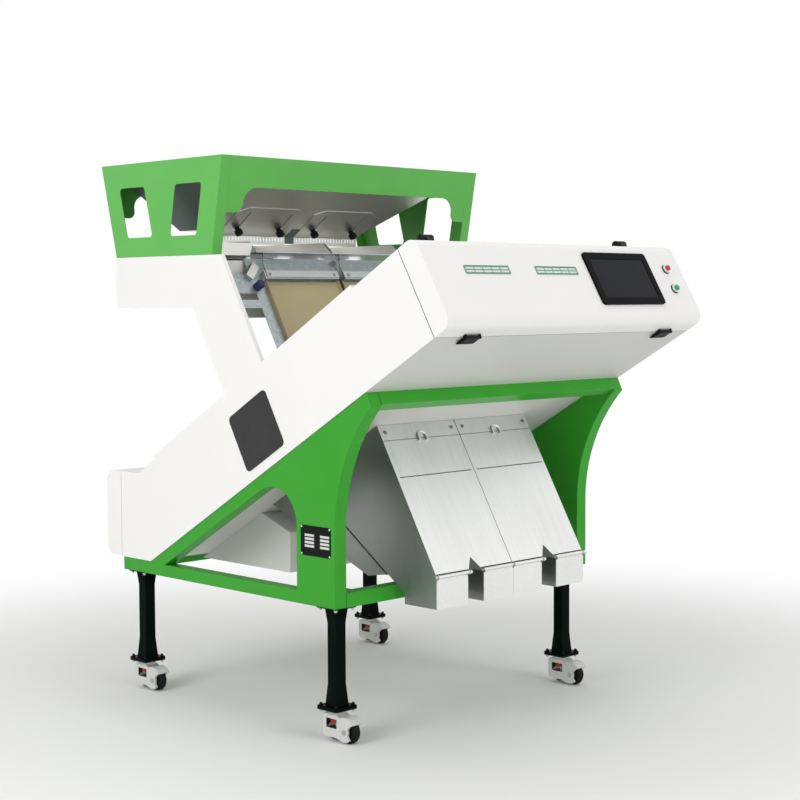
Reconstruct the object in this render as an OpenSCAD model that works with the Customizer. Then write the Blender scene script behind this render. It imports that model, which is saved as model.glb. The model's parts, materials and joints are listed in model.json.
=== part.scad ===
// Optical colour sorter with two chutes, standing on levelling casters.
// Z = 0 is the floor, -Y is the discharge side and X runs across the chutes.

/* [Body] */
// Width over the side panels
body_w = 1200; // [1120:10:1280]
// Height of the head's top edge above the floor
body_h = 1500; // [1480:5:1530]
// Length of the sloping box along its underside
box_len = 1561; // [1500:1:1620]
// Thickness of the sloping box
box_t = 290; // [270:1:310]
// Step up to the raised top covers
cover_rise = 12; // [6:1:20]
// Start of the raised cover, from the knee along the slope
cover_start = 204; // [160:1:260]
// End of the raised cover, from the knee along the slope
cover_end = 1340; // [1250:1:1400]
// Level foot of the box behind the knee
rear_flat = 166; // [140:1:190]
// Height of the rear end of the box
rear_h = 297; // [285:1:315]
// Thickness of the body sheets
skin = 2; // [1.5:0.1:3]
// Return flange along the edges of the side panels
panel_flange = 16; // [10:1:24]

/* [Neck and head] */
// Rear edge of the neck, from the knee along the slope
neck_u = 650; // [620:1:680]
// Depth of the neck square to the chutes
neck_t = 215; // [205:1:235]
// Height of the head behind the neck
head_h = 172; // [150:1:190]
// Reach of the head behind the rear end of the box
head_over = 12; // [0:1:30]

/* [Doors] */
// Depth of the front door
door_d = 74; // [60:1:90]
// Corner radius of the front door
door_r = 36; // [25:1:36]
// Depth of the rear cover
rear_d = 83; // [60:1:92]
// Corner radius of the rear cover
rear_r = 40; // [25:1:41]
// Open joint round the doors
seam = 3; // [2:0.5:5]
// Distance of hinges and latches from the side panels
hinge_in = 142; // [100:1:200]
// Height of the hinge axis above the box
hinge_rise = 42; // [34:1:50]
// Width of a hinge
hinge_w = 46; // [38:1:56]
// Width of a latch
latch_w = 56; // [44:1:70]

/* [Controls] */
// Screen bezel width
screen_w = 318; // [280:1:340]
// Screen bezel height
screen_h = 186; // [160:1:200]
// Middle of the screen, from the right side panel
screen_in = 331; // [320:1:350]
// Width of the bezel border
bezel_border = 23; // [15:1:30]
// Bezel standing proud of the door
bezel_t = 7; // [4:0.5:10]
// Middle of the buttons, from the right side panel
button_in = 83; // [60:1:110]
// Radius of a button
button_r = 9.5; // [8:0.1:11]
// Spacing of the two buttons
button_gap = 74; // [60:1:90]
// Collar of a button standing proud of the door
collar_h = 11; // [8:0.5:14]
// Push of a button
button_push = 4; // [2:0.5:6]
// Width of a status window
status_w = 195; // [160:1:220]
// Height of a status window
status_h = 29; // [20:1:36]

/* [Base frame] */
// Set-back of the frame from the panel face
frame_set = 3; // [0:0.5:8]
// Thickness of a side frame
frame_t = 48; // [40:1:60]
// Wall of the frame sections
wall = 3; // [2:0.5:5]
// Height of the base beams
base_h = 45; // [38:1:55]
// Height of the base rail below the arch
rail_h = 40; // [32:1:48]
// Depth of the sloping beam
beam_h = 42; // [36:1:50]
// Front face of the base, from the knee
frame_front = 930; // [900:1:960]
// Rear end of the base, from the knee
frame_back = 162; // [130:1:164]
// Length of the sloping beam along the box
frame_u = 1235; // [1200:1:1270]
// Width of the front column
column_w = 175; // [150:1:200]
// Radius of the curved front edge
curve_r = 553; // [520:1:580]
// Height where the curved front edge starts
curve_z = 650; // [620:1:680]
// Radius of the arch corner
arch_r = 112; // [80:1:130]

/* [Legs and casters] */
// Mounting height of a caster
caster_h = 103; // [98:1:112]
// Height of a leg with its plates
leg_h = 317; // [280:1:350]
// Width of the leg tube
leg_w = 40; // [34:1:46]
// Width of the flared leg ends
leg_end_w = 53; // [46:1:58]
// Side of the leg plates
plate_w = 90; // [80:1:100]
// Thickness of the leg plates
plate_t = 7; // [5:0.5:10]
// Spacing of the plate bolts
bolt_gap = 70; // [60:1:76]
// Radius of the bolt holes
bolt_r = 4.5; // [3.5:0.1:5.5]
// Legs set in from the outer side of the frame
leg_side = 60; // [52:1:87]
// Legs set in from the front face
leg_in = 60; // [52:1:80]
// Legs set in from the rear end
leg_back = 50; // [46:1:70]
// Radius of a caster wheel
wheel_r = 37; // [32:0.5:40]
// Width of a caster wheel
wheel_w = 28; // [22:1:32]
// Trail of a wheel behind its swivel
trail = 57; // [52:1:64]
// Radius of the wheel axle
axle_r = 5; // [4:0.5:6]
// Width of the caster body
caster_w = 48; // [44:1:56]
// Downward travel of a levelling foot
foot_travel = 12; // [8:1:13]
// Radius of a levelling foot
foot_r = 19; // [15:0.5:20]

/* [Hopper] */
// Height of the hopper guard
hopper_h = 317.7; // [300:0.1:335]
// Front edge of the guard behind the neck front
hopper_set = 51; // [30:1:70]
// Forward flare of the guard front
front_flare = 58; // [40:1:70]
// Rearward flare of the guard rear
rear_flare = 82; // [60:1:95]
// Width of the corner flanges
guard_flange = 40; // [30:1:50]
// Depth of the band above the large cut-out
band_h = 100; // [80:1:120]
// Depth of the end tabs of the front and rear plates
tab_h = 184; // [160:1:200]
// Reach of the end tabs from the guard sides
tab_w = 107; // [97:1:147]
// Corner radius of the large cut-out
cut_r = 55; // [35:1:70]
// Width of a side window
side_win_w = 142; // [120:1:155]
// Height of a side window
side_win_h = 170; // [150:1:190]
// Width of the funnel outlet
outlet_w = 676; // [664:1:690]
// Length of the funnel outlet
outlet_len = 226; // [200:1:228]
// Front edge of the funnel outlet behind the guard front
outlet_set = 285; // [270:1:300]
// Height of the funnel outlet above the head
outlet_z = 98; // [92:1:110]

/* [Feeding] */
// Width of one chute lane
lane_w = 342; // [336:1:346]
// Length of a gate plate up the funnel
gate_up = 130; // [115:1:145]
// Reach of a gate below the funnel edge
gate_over = 33; // [28:1:38]
// Height of the gate lip
lip_h = 30; // [24:1:34]
// Travel of a gate
gate_travel = 40; // [25:1:42]
// Radius of a gate knob
knob_r = 14; // [11:0.5:17]
// Half spacing of the knobs on a gate
knob_gap = 94; // [80:1:105]
// Length of a feeder tray
tray_len = 436; // [405:1:437]
// Height of the tray sides
tray_h = 38; // [30:1:44]
// Height of the tray floor above the head
tray_z = 14; // [10:0.5:16]
// Front end of the trays behind the neck front
tray_set = 136; // [132:1:150]

/* [Chutes] */
// Chute surface, from the knee along the slope
chute_u = 737; // [728:1:745]
// Upper end of the chutes above the underside
chute_top = 670; // [650:1:685]
// Lower end of the chutes above the underside
chute_bottom = 165; // [155:1:180]
// Height of a chute's side lips
chute_lip = 12; // [8:1:16]
// Clear gap between chute and cover for the product
cover_gap = 22; // [16:1:26]
// Thickness of the clear covers
cover_t = 3; // [2:0.5:4]

/* [Discharge] */
// Width of one discharge hopper
hop_w = 350; // [330:1:360]
// Front face, from the knee along the slope
hop_u = 989; // [975:1:1005]
// Drop from the box to the outlet rods, along the face
rod_drop = 519; // [500:1:530]
// Height of the outlet mouths above the floor
mouth_z = 411; // [400:1:420]
// Depth of an outlet
mouth_d = 136; // [125:1:145]
// Rise of the outlet's rear wall
mouth_rise = 34; // [28:1:40]
// Width of the notch between two outlets
notch_w = 72; // [60:1:84]
// Height of the tent above the rods
tent_h = 42; // [32:1:52]
// Slope of the hopper floor
floor_a = 35; // [33:0.5:37]
// Radius of an outlet rod
rod_r = 6; // [5:0.25:7]
// Slope of the reject floor
reject_a = 22; // [20:0.5:24]
// Mouth of the reject hopper
reject_mouth = 82; // [70:1:90]
// Depth of the air housing below the knee
air_drop = 19; // [10:1:24]
// Length of the air housing
air_len = 470; // [440:1:490]
// Height of the air housing's front
air_h = 134; // [120:1:145]

/* [Side windows] */
// Size of a side window along the slope
pane_l = 207; // [180:1:220]
// Size of a side window across the slope
pane_h = 194; // [170:1:204]
// Corner radius of a side window
pane_r = 16; // [8:1:24]

/* [Hidden] */
$fn = 64;

white = "#f3f3f1";
green = "#45a83a";
steel = "#c9cbc9";
zinc = "#aab4b4";
black = "#1c1e1f";

// Slope of the box; the neck, chutes and discharge faces stand square to it
slope = 30;
// Gap between pieces that seat on each other
fit = 0.3;
// Running clearance of a pin in its bore
run = 0.05;
// Overshoot of a cut past a face
cut = 1;

half_w = body_w / 2;
inner_w = half_w - skin;
hinge_x = half_w - hinge_in;
screen_x = half_w - screen_in;
button_x = half_w - button_in;
leg_z = caster_h + leg_h;
knee_z = leg_z + base_h;
neck_front = neck_u + neck_t;
door_u = box_len + seam;
face_u = door_u + door_d;

// The origin lies midway between the door's foremost and the guard's rearmost edge
front_reach = (face_u - door_r) * cos(slope) - door_r * sin(slope) + door_r;
rear_reach = rear_flat + head_over + rear_flare;
knee_y = (front_reach - rear_reach) / 2;

rear_y = knee_y + rear_flat;
rear_z = knee_z + rear_h;
head_y = rear_y + head_over;
head_z = body_h - head_h;

frame_out = half_w - frame_set;
frame_in = frame_out - frame_t;
leg_x = frame_out - leg_side;
front_y = knee_y - frame_front;
frame_rear = knee_y + frame_back;
leg_front_y = front_y + leg_in;
leg_rear_y = frame_rear - leg_back;
leg_at = [[-leg_x, leg_front_y], [leg_x, leg_front_y], [-leg_x, leg_rear_y], [leg_x, leg_rear_y]];

// Point of the sloping box, u up the slope from the knee and w square to the underside
function at(u, w) = [knee_y - u * cos(slope) + w * sin(slope), knee_z + u * sin(slope) + w * cos(slope)];
// Height w on a line of constant u at height z
function w_at_z(u, z) = (z - knee_z - u * sin(slope)) / cos(slope);

function unit(v) = v / norm(v);
function left_of(v) = [-v[1], v[0]];
// Mitre direction of a folded sheet at point i, one unit to the left of its path
function mitre(p, i) =
    let (n = len(p) - 1,
         a = left_of(unit(p[max(i, 1)] - p[max(i, 1) - 1])),
         b = left_of(unit(p[min(i + 1, n)] - p[min(i + 1, n) - 1])),
         m = unit(a + b))
    m / (m * a);
// Outline of a sheet of thickness t folded along a path, to the left of it
function folded(p, t) = concat(p, [for (i = [len(p) - 1 : -1 : 0]) p[i] + t * mitre(p, i)]);

// Points of an arc about c from angle a0 to a1
function arc(c, r, a0, a1, n) =
    [for (i = [0 : n]) c + r * [cos(a0 + (a1 - a0) * i / n), sin(a0 + (a1 - a0) * i / n)]];

// Draws a (y, z) profile along X
module along_x(x0, x1) translate([x0, 0, 0]) rotate([90, 0, 90]) linear_extrude(x1 - x0) children();
// Draws an (x, z) profile along Y
module along_y(y0, y1) translate([0, y1, 0]) rotate([90, 0, 0]) linear_extrude(y1 - y0) children();
// Frame of the sloping box: -Y up the slope, Z square to the underside
module sloped() translate([0, knee_y, knee_z]) rotate([-slope, 0, 0]) children();
// A box given by two corners
module block(a, b) translate(a) cube(b - a);
module both_sides() for (m = [0, 1]) mirror([m, 0, 0]) children();
module rod_x(x0, x1, r) translate([x0, 0, 0]) rotate([0, 90, 0]) cylinder(r = r, h = x1 - x0);
module rounded_rect(w, h, r) {
    square([w - 2 * r, h], center = true);
    square([w, h - 2 * r], center = true);
    for (x = [-1, 1], y = [-1, 1]) translate([x * (w / 2 - r), y * (h / 2 - r)]) circle(r);
}
// Profile of a door: flat at y = 0, round at its far corners
module door_profile(d, h, r) {
    translate([-d + r, 0]) square([d - r, h]);
    translate([-d, r]) square([r, h - 2 * r]);
    for (z = [r, h - r]) translate([-d + r, z]) circle(r);
}

// Green base frame

arch_w = -beam_h;
arch_y = front_y + column_w;
arch_z = leg_z + rail_h;

// Outline of a side frame, drawn in by t for its hollow, which is open at the bottom
module frame_outline(t) {
    bottom = t > 0 ? leg_z - cut : leg_z;
    nose_y = at(frame_u - t, -beam_h)[0];
    curve_c = [front_y - curve_r, curve_z];
    polygon(concat(
        [
            [frame_rear - t, bottom],
            [frame_rear - t, knee_z - fit - t],
            at((t + fit) * (cos(slope) - 1) / sin(slope), -t - fit),
            at(frame_u - t, -t - fit)
        ],
        arc(curve_c, curve_r + t, acos((nose_y - curve_c[0]) / (curve_r + t)), 0, 28),
        [[front_y + t, bottom]]
    ));
}

// Triangular arch with one round corner, drawn out by t
module frame_arch(t) {
    w = arch_w + t;
    z = arch_z - t;
    centre_y = arch_y + arch_r;
    centre = [centre_y, knee_z + (arch_w - arch_r - (centre_y - knee_y) * sin(slope)) / cos(slope)];
    polygon(concat(
        [[knee_y + (w - (z - knee_z) * cos(slope)) / sin(slope), z]],
        arc(centre, arch_r + t, 90 - slope, 180, 16),
        [[arch_y - t, z]]
    ));
}

module side_frame() color(green) difference() {
    along_x(frame_in, frame_out) difference() {
        frame_outline(0);
        frame_arch(0);
    }
    along_x(frame_in + wall, frame_out - wall) difference() {
        frame_outline(wall);
        frame_arch(wall);
    }
}
module frame_left() mirror([1, 0, 0]) side_frame();
module frame_right() side_frame();

pad_in = frame_in - leg_x + plate_w / 2 + 5;

// Square tube across the machine with a hollow corner pad over each leg
module base_beam(y0, y1, pad_y0, pad_y1) {
    z1 = leg_z + base_h - fit;
    x1 = frame_in - fit;
    difference() {
        union() {
            block([-x1, y0, leg_z], [x1, y1, z1]);
            both_sides() block([x1 - pad_in, pad_y0, leg_z], [x1, pad_y1, z1]);
        }
        block([-x1 - cut, y0 + wall, leg_z + wall], [x1 + cut, y1 - wall, z1 - wall]);
        both_sides() block([x1 - pad_in + wall, pad_y0 + wall, leg_z + wall],
            [x1 + cut, pad_y1 - wall, z1 - wall]);
    }
}

module cross_beams() color(green) {
    base_beam(front_y, front_y + base_h, front_y + 5, leg_front_y + plate_w / 2 + 5);
    base_beam(frame_rear - base_h, frame_rear, leg_rear_y - plate_w / 2 - 5, frame_rear - 5);
    x1 = frame_in - fit;
    sloped() difference() {
        block([-x1, -frame_u, -beam_h], [x1, -frame_u + beam_h, -fit]);
        block([-x1 - cut, -frame_u + wall, -beam_h + wall], [x1 + cut, -frame_u + beam_h - wall, -fit - wall]);
    }
}

// Legs and casters

leg_l = leg_h - 2 * fit;
leg_flare_top = 55;
leg_flare_bottom = 76;

module leg_profile() {
    a = leg_w / 2;
    b = leg_end_w / 2;
    polygon([
        [-b, 0], [b, 0], [a, leg_flare_bottom], [a, leg_l - leg_flare_top],
        [b, leg_l], [-b, leg_l], [-a, leg_l - leg_flare_top], [-a, leg_flare_bottom]
    ]);
}

module bolt_holes(z0, z1) for (x = [-1, 1], y = [-1, 1])
    translate([x * bolt_gap / 2, y * bolt_gap / 2, z0 - cut]) cylinder(r = bolt_r, h = z1 - z0 + 2 * cut);

module leg() difference() {
    union() {
        intersection() {
            along_x(-leg_end_w, leg_end_w) leg_profile();
            along_y(-leg_end_w, leg_end_w) leg_profile();
        }
        for (z = [0, leg_l - plate_t])
            translate([0, 0, z]) linear_extrude(plate_t) rounded_rect(plate_w, plate_w, 6);
    }
    block([-leg_w / 2 + wall, -leg_w / 2 + wall, -cut], [leg_w / 2 - wall, leg_w / 2 - wall, leg_l + cut]);
    bolt_holes(0, leg_l);
}
module legs() color("#06130e") for (p = leg_at) translate([p[0], p[1], caster_h + fit]) leg();

plate_h = 5;
swivel_z = caster_h - plate_h - fit;
swivel_r = 9;
swivel_len = 12;
boss_h = 13;

module caster_plates() color(black) for (p = leg_at) translate([p[0], p[1], 0]) {
    difference() {
        union() {
            translate([0, 0, caster_h - plate_h]) linear_extrude(plate_h) rounded_rect(plate_w, plate_w, 6);
            translate([0, 0, swivel_z - swivel_len]) cylinder(r = swivel_r, h = swivel_len + fit + cut);
        }
        bolt_holes(caster_h - plate_h, caster_h);
    }
}

body_back = 40;
body_foot = 14;
window_z0 = 42;
window_z1 = 71;
dial_t = 13;
dial_r = 19.5;
stem_r = 6;

// Side view of the casting: rear block, mudguard over the wheel and a hollow front edge on the cheeks
module caster_outline() {
    axle = [-trail, wheel_r];
    top = swivel_z - boss_h;
    polygon(concat(
        [
            [body_back - 12, body_foot], [body_back - 4, body_foot + 4], [body_back, body_foot + 12],
            [body_back, top - 5], [body_back - 5, top], [-24, top]
        ],
        arc(axle, wheel_r + 9, 62, 142, 10),
        arc(axle + [-39, -1], 27, 80, -50, 12),
        [axle + [-9, 7 - wheel_r], axle + [7, 6 - wheel_r], [-22, body_foot]]
    ));
}

// Cream casting with a window for the dial and a cheek on either side of the wheel
module caster_body(p) color("#dedfd6") translate([p[0], p[1], 0]) difference() {
    union() {
        along_x(-caster_w / 2, caster_w / 2) caster_outline();
        translate([0, 0, swivel_z - boss_h - cut]) cylinder(r = 27, h = boss_h + cut);
        translate([0, -trail, wheel_r]) rod_x(-caster_w / 2 - 4, caster_w / 2 + 4, axle_r);
        for (x = [-caster_w / 2 - 4, caster_w / 2])
            translate([x, -trail, wheel_r]) rotate([0, 90, 0]) cylinder(r = 8, h = 4, $fn = 6);
        for (x = [-1, 1]) translate([x * (caster_w / 2 + wheel_w / 2 + 2) / 2, -trail, wheel_r])
            rotate([0, 90, 0]) cylinder(r = 15, h = caster_w / 2 - wheel_w / 2 - 2, center = true);
    }
    difference() {
        translate([0, -trail, wheel_r]) rod_x(-wheel_w / 2 - 2, wheel_w / 2 + 2, wheel_r + 3);
        translate([0, -trail, wheel_r]) rod_x(-wheel_w, wheel_w, axle_r);
    }
    block([-caster_w, -dial_r - 4, window_z0], [caster_w, dial_r + 4, window_z1]);
    translate([0, 0, -cut]) cylinder(r = stem_r + run, h = window_z0 + 2 * cut);
    translate([0, 0, -cut]) cylinder(r = foot_r + 2, h = 24 + cut);
    translate([0, 0, swivel_z - swivel_len - fit]) cylinder(r = swivel_r + run, h = swivel_len + 2 * cut);
}

// Tyred wheel turned about its axle
module caster_wheel(p) color(black) translate([p[0], p[1] - trail, wheel_r]) rotate([0, 90, 0])
    rotate_extrude() difference() {
        polygon([
            [axle_r + run, -wheel_w / 2], [axle_r + 7, -wheel_w / 2], [axle_r + 9, -wheel_w / 2 + 4],
            [wheel_r - 12, -wheel_w / 2 + 4], [wheel_r - 9, -wheel_w / 2 + 1], [wheel_r - 4, -wheel_w / 2 + 1],
            [wheel_r, -wheel_w / 2 + 7], [wheel_r, wheel_w / 2 - 7], [wheel_r - 4, wheel_w / 2 - 1],
            [wheel_r - 9, wheel_w / 2 - 1], [wheel_r - 12, wheel_w / 2 - 4], [axle_r + 9, wheel_w / 2 - 4],
            [axle_r + 7, wheel_w / 2], [axle_r + run, wheel_w / 2]
        ]);
        for (s = [-1, 1]) translate([wheel_r - 12, s * (wheel_w / 2 - 3)]) circle(1, $fn = 16);
    }

// Screw foot: rubber pad, stem and thumb dial
module caster_foot(p) color("#b5202a") translate([p[0], p[1], 0]) {
    translate([0, 0, 8]) cylinder(r1 = foot_r - 2, r2 = foot_r, h = 3);
    translate([0, 0, 11]) cylinder(r = foot_r, h = 7);
    translate([0, 0, 18]) cylinder(r = stem_r, h = window_z1 - 20);
    translate([0, 0, window_z1 - 1 - dial_t]) linear_extrude(dial_t) difference() {
        circle(dial_r);
        for (a = [0 : 15 : 345]) rotate(a) translate([dial_r + 0.6, 0]) circle(1.6, $fn = 16);
    }
}

module caster_body_1() caster_body(leg_at[0]);
module caster_body_2() caster_body(leg_at[1]);
module caster_body_3() caster_body(leg_at[2]);
module caster_body_4() caster_body(leg_at[3]);
module caster_wheel_1() caster_wheel(leg_at[0]);
module caster_wheel_2() caster_wheel(leg_at[1]);
module caster_wheel_3() caster_wheel(leg_at[2]);
module caster_wheel_4() caster_wheel(leg_at[3]);
module caster_foot_1() caster_foot(leg_at[0]);
module caster_foot_2() caster_foot(leg_at[1]);
module caster_foot_3() caster_foot(leg_at[2]);
module caster_foot_4() caster_foot(leg_at[3]);

// White body

vee = at(neck_front, box_t + cover_rise);
neck_top = at(neck_front, w_at_z(neck_front, body_h));
head_foot = at(neck_u, w_at_z(neck_u, head_z));
neck_foot = at(neck_u, box_t + cover_rise);
rear_knee = at((rear_h - box_t * cos(slope)) / sin(slope), box_t);

pane_u = chute_u - 5;
pane_w = box_t / 2 - 17;
pane_lap = 9;

// Side panel sheet with a return flange up the neck and along the head
module side_panel() color(white) {
    difference() {
        along_x(inner_w, half_w) polygon([
            [rear_y, knee_z], [knee_y, knee_z], at(box_len, 0), at(box_len, box_t),
            at(cover_end, box_t), at(cover_end, box_t + cover_rise), vee, neck_top,
            [head_y, body_h], [head_y, head_z], head_foot, neck_foot,
            at(cover_start, box_t + cover_rise), at(cover_start, box_t), rear_knee, [rear_y, rear_z]
        ]);
        sloped() translate([0, -pane_u, pane_w]) along_x(inner_w - cut, half_w + cut)
            rounded_rect(pane_l - 2 * pane_lap, pane_h - 2 * pane_lap, pane_r - pane_lap / 2);
    }
    along_x(half_w - panel_flange, half_w) polygon(folded([
        at(neck_front, box_t + cover_rise + 2 * skin), neck_top, [head_y - 2 * skin, body_h]
    ], -skin));
}
module side_panel_left() mirror([1, 0, 0]) side_panel();
module side_panel_right() side_panel();

// Dark panes over the sorting zone
module side_windows() color("#2f3033") both_sides() sloped() translate([0, -pane_u, pane_w]) {
    along_x(half_w + fit, half_w + fit + 2) rounded_rect(pane_l, pane_h, pane_r);
    along_x(inner_w, half_w + fit + cut)
        rounded_rect(pane_l - 2 * pane_lap - 2 * fit, pane_h - 2 * pane_lap - 2 * fit, pane_r - pane_lap / 2);
}

cover_x = inner_w - fit;

module box_top_cover() color(white) along_x(-cover_x, cover_x) {
    polygon(folded([
        at(box_len, box_t), at(cover_end, box_t), at(cover_end, box_t + cover_rise), vee
    ], -skin));
    polygon(folded([
        neck_foot, at(cover_start, box_t + cover_rise), at(cover_start, box_t), rear_knee, [rear_y, rear_z]
    ], -skin));
}

throat_x = hop_w - 8;
throat_u0 = 610;
throat_u1 = hop_u - 6;
reject_u0 = 420;
reject_u1 = throat_u0 - 18;

module box_underside() color("#c8c8c4") difference() {
    along_x(-cover_x, cover_x) polygon(folded([[rear_y, knee_z], [knee_y, knee_z], at(box_len, 0)], -skin));
    sloped() {
        block([-throat_x, -throat_u1, -cut], [throat_x, -throat_u0, skin + cut]);
        block([-throat_x, -reject_u1, -cut], [throat_x, -reject_u0, skin + cut]);
    }
}

neck_border = 40;
drive_wall = [head_foot[0] + 3, body_h - 14];

// Rear of the neck with its large opening, floor and rear of the head, and a wall before the feeder drives
module head_shell() color(white) {
    difference() {
        along_x(-cover_x, cover_x)
            polygon(folded([neck_foot, head_foot, [head_y, head_z], [head_y, body_h]], skin));
        sloped() block([neck_border - cover_x, -neck_u - 3 * skin, box_t + cover_rise + neck_border],
            [cover_x - neck_border, -neck_u + 3 * skin, w_at_z(neck_u, head_z) - neck_border]);
    }
    block([-cover_x, drive_wall[0], head_z + skin / 2], [cover_x, drive_wall[0] + skin, drive_wall[1]]);
}

tongue = 18;

// Rear cover with a tongue that slips into the box
module rear_cover() color(white) {
    translate([0, rear_y + seam, knee_z]) difference() {
        mirror([0, 1, 0]) along_x(-half_w, half_w) door_profile(rear_d, rear_h, rear_r);
        mirror([0, 1, 0]) translate([0, 0, skin]) along_x(-inner_w, inner_w) {
            door_profile(rear_d - skin, rear_h - 2 * skin, rear_r - skin);
            square([cut, rear_h - 2 * skin]);
        }
    }
    x1 = cover_x - fit;
    z1 = rear_z - skin - fit;
    difference() {
        union() {
            block([-x1, rear_y - tongue, knee_z + skin + fit], [x1, rear_y + seam + 3 * skin, z1]);
            block([-inner_w - skin / 2, rear_y + seam + skin, knee_z + skin / 2],
                [inner_w + skin / 2, rear_y + seam + 3 * skin, rear_z - skin / 2]);
        }
        block([-x1 + skin, rear_y - tongue - cut, knee_z + 2 * skin + fit],
            [x1 - skin, rear_y + seam + 3 * skin + cut, z1 - skin]);
    }
}

// Front door and its fittings

screen_z = box_t / 2 + 5;
button_z = screen_z + 1;
status_z = box_t / 2 + 33;
status_at = [245 - half_w, 557 - half_w];
collar_r = button_r + fit + 1.5;

module on_door(x, z) sloped() translate([x, -face_u, z]) rotate([90, 0, 0]) children();

latch_u = door_u + 11;
latch_z = -8;
ear_t = 3;
pin_r = 2.5;

module latch_ears() for (x = [-hinge_x, hinge_x], s = [-1, 1])
    translate([x + s * (latch_w / 2 + fit + ear_t / 2), -latch_u, 0]) difference() {
        along_x(-ear_t / 2, ear_t / 2) {
            translate([-6, latch_z]) square([12, skin - latch_z]);
            translate([0, latch_z]) circle(6);
        }
        translate([0, 0, latch_z]) rod_x(-ear_t, ear_t, pin_r + run);
    }

module front_door() color(white) {
    sloped() difference() {
        translate([0, -door_u, 0]) along_x(-half_w, half_w) door_profile(door_d, box_t, door_r);
        translate([0, -door_u, skin]) along_x(-inner_w, inner_w) {
            door_profile(door_d - skin, box_t - 2 * skin, door_r - skin);
            square([cut, box_t - 2 * skin]);
        }
        block([screen_x - screen_w / 2 + bezel_border, -face_u - cut, screen_z - screen_h / 2 + bezel_border],
            [screen_x + screen_w / 2 - bezel_border, -face_u + skin + cut,
                screen_z + screen_h / 2 - bezel_border]);
        for (x = status_at)
            block([x - status_w / 2 + 4, -face_u - cut, status_z - status_h / 2 + 4],
                [x + status_w / 2 - 4, -face_u + skin + cut, status_z + status_h / 2 - 4]);
        for (s = [-1, 1]) translate([button_x, -face_u - cut, button_z + s * button_gap / 2])
            rotate([-90, 0, 0]) cylinder(r = collar_r + run, h = skin + 2 * cut);
    }
    sloped() latch_ears();
}

hinge_u = box_len - 6;
hinge_z = box_t + hinge_rise;
hinge_r = 13;
hinge_pin_r = 4;
arm_w = hinge_w / 2 - 10;

// Fixed half of each hinge: foot on the box, two cheeks and the pin
module hinge_bases() color(black) sloped() for (x = [-hinge_x, hinge_x]) translate([x, 0, 0]) {
    both_sides() along_x(arm_w + fit, hinge_w / 2) {
        polygon([[-hinge_u + 34, box_t + fit], [-hinge_u + 4, box_t + fit], [-hinge_u - 6, hinge_z],
            [-hinge_u + hinge_r, hinge_z], [-hinge_u + 34, box_t + 7]]);
        translate([-hinge_u, hinge_z]) circle(hinge_r);
    }
    block([-hinge_w / 2, -hinge_u + 16, box_t + fit], [hinge_w / 2, -hinge_u + 44, box_t + 6]);
    translate([0, -hinge_u, hinge_z]) rod_x(-hinge_w / 2, hinge_w / 2, hinge_pin_r);
}

// Door half of each hinge: plate on the door and the arm up to the pin
module hinge_arms() color(black) sloped() for (x = [-hinge_x, hinge_x]) translate([x, 0, 0]) difference() {
    union() {
        along_x(-arm_w, arm_w) {
            polygon([[-door_u - 4, box_t + fit], [-door_u - 30, box_t + fit], [-door_u - 30, box_t + 6],
                [-door_u - 16, box_t + 9], [-hinge_u - hinge_r, hinge_z], [-hinge_u, hinge_z]]);
            translate([-hinge_u, hinge_z]) circle(hinge_r);
        }
        block([-hinge_w / 2, -door_u - 30, box_t + fit], [hinge_w / 2, -door_u - 16, box_t + 6]);
    }
    translate([0, -hinge_u, hinge_z]) rod_x(-hinge_w, hinge_w, hinge_pin_r + run);
}

// Latch lever on the door's lower edge, its tongue under the box
module latch(x) color(black) sloped() translate([x, -latch_u, latch_z]) difference() {
    union() {
        rod_x(-latch_w / 2, latch_w / 2, 5);
        rod_x(-latch_w / 2 - fit - ear_t, latch_w / 2 + fit + ear_t, pin_r);
        along_x(-latch_w / 2, latch_w / 2)
            polygon([[0, -5], [0, 5], [14, 5], [30, 4], [44, 5], [44, 1], [30, -5]]);
    }
    for (i = [-2 : 2]) translate([i * latch_w / 6, 0, 0])
        block([-2, 26, -7], [2, 46, -1]);
}
module latch_left() latch(-hinge_x);
module latch_right() latch(hinge_x);

module screen_bezel() color(black) on_door(screen_x, screen_z) translate([0, 0, fit]) difference() {
    linear_extrude(bezel_t) rounded_rect(screen_w, screen_h, 12);
    translate([0, 0, -cut]) linear_extrude(bezel_t + 2 * cut)
        square([screen_w - 2 * bezel_border, screen_h - 2 * bezel_border], center = true);
}

module screen_glass() color("#3a3a40") on_door(screen_x, screen_z) translate([0, 0, -1])
    linear_extrude(bezel_t - 0.7)
        square([screen_w - 2 * bezel_border - 2 * fit, screen_h - 2 * bezel_border - 2 * fit], center = true);

status_cols = 5;
status_rows = 2;

// Clear windows with a grid of shallow cells
module status_windows() color("#dfe9e4") for (x = status_at)
    on_door(x, status_z) translate([0, 0, fit]) difference() {
    linear_extrude(2) rounded_rect(status_w, status_h, 3);
    cell_w = (status_w - 8) / status_cols;
    cell_h = (status_h - 8) / status_rows;
    for (c = [0 : status_cols - 1], r = [0 : status_rows - 1])
        translate([(c + 0.5) * cell_w - status_w / 2 + 4, (r + 0.5) * cell_h - status_h / 2 + 4, 1])
            linear_extrude(2) square([cell_w - 3, cell_h - 3], center = true);
}

module at_button(s) on_door(button_x, button_z + s * button_gap / 2) children();

module button_collars() color("#d8d9d8") for (s = [-1, 1]) at_button(s) difference() {
    union() {
        translate([0, 0, fit]) cylinder(r = collar_r + 3, h = collar_h);
        translate([0, 0, -14]) cylinder(r = collar_r, h = 15);
    }
    translate([0, 0, -20]) cylinder(r = button_r + run, h = 40 + collar_h);
}

module push_button(s) at_button(s) {
    translate([0, 0, -10]) cylinder(r = button_r, h = 10 + collar_h + button_push);
    translate([0, 0, collar_h + button_push]) cylinder(r1 = button_r, r2 = button_r - 1.5, h = 1.5);
}
module stop_button() color("#c0202c") push_button(1);
module start_button() color("#1c9a63") push_button(-1);

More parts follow.
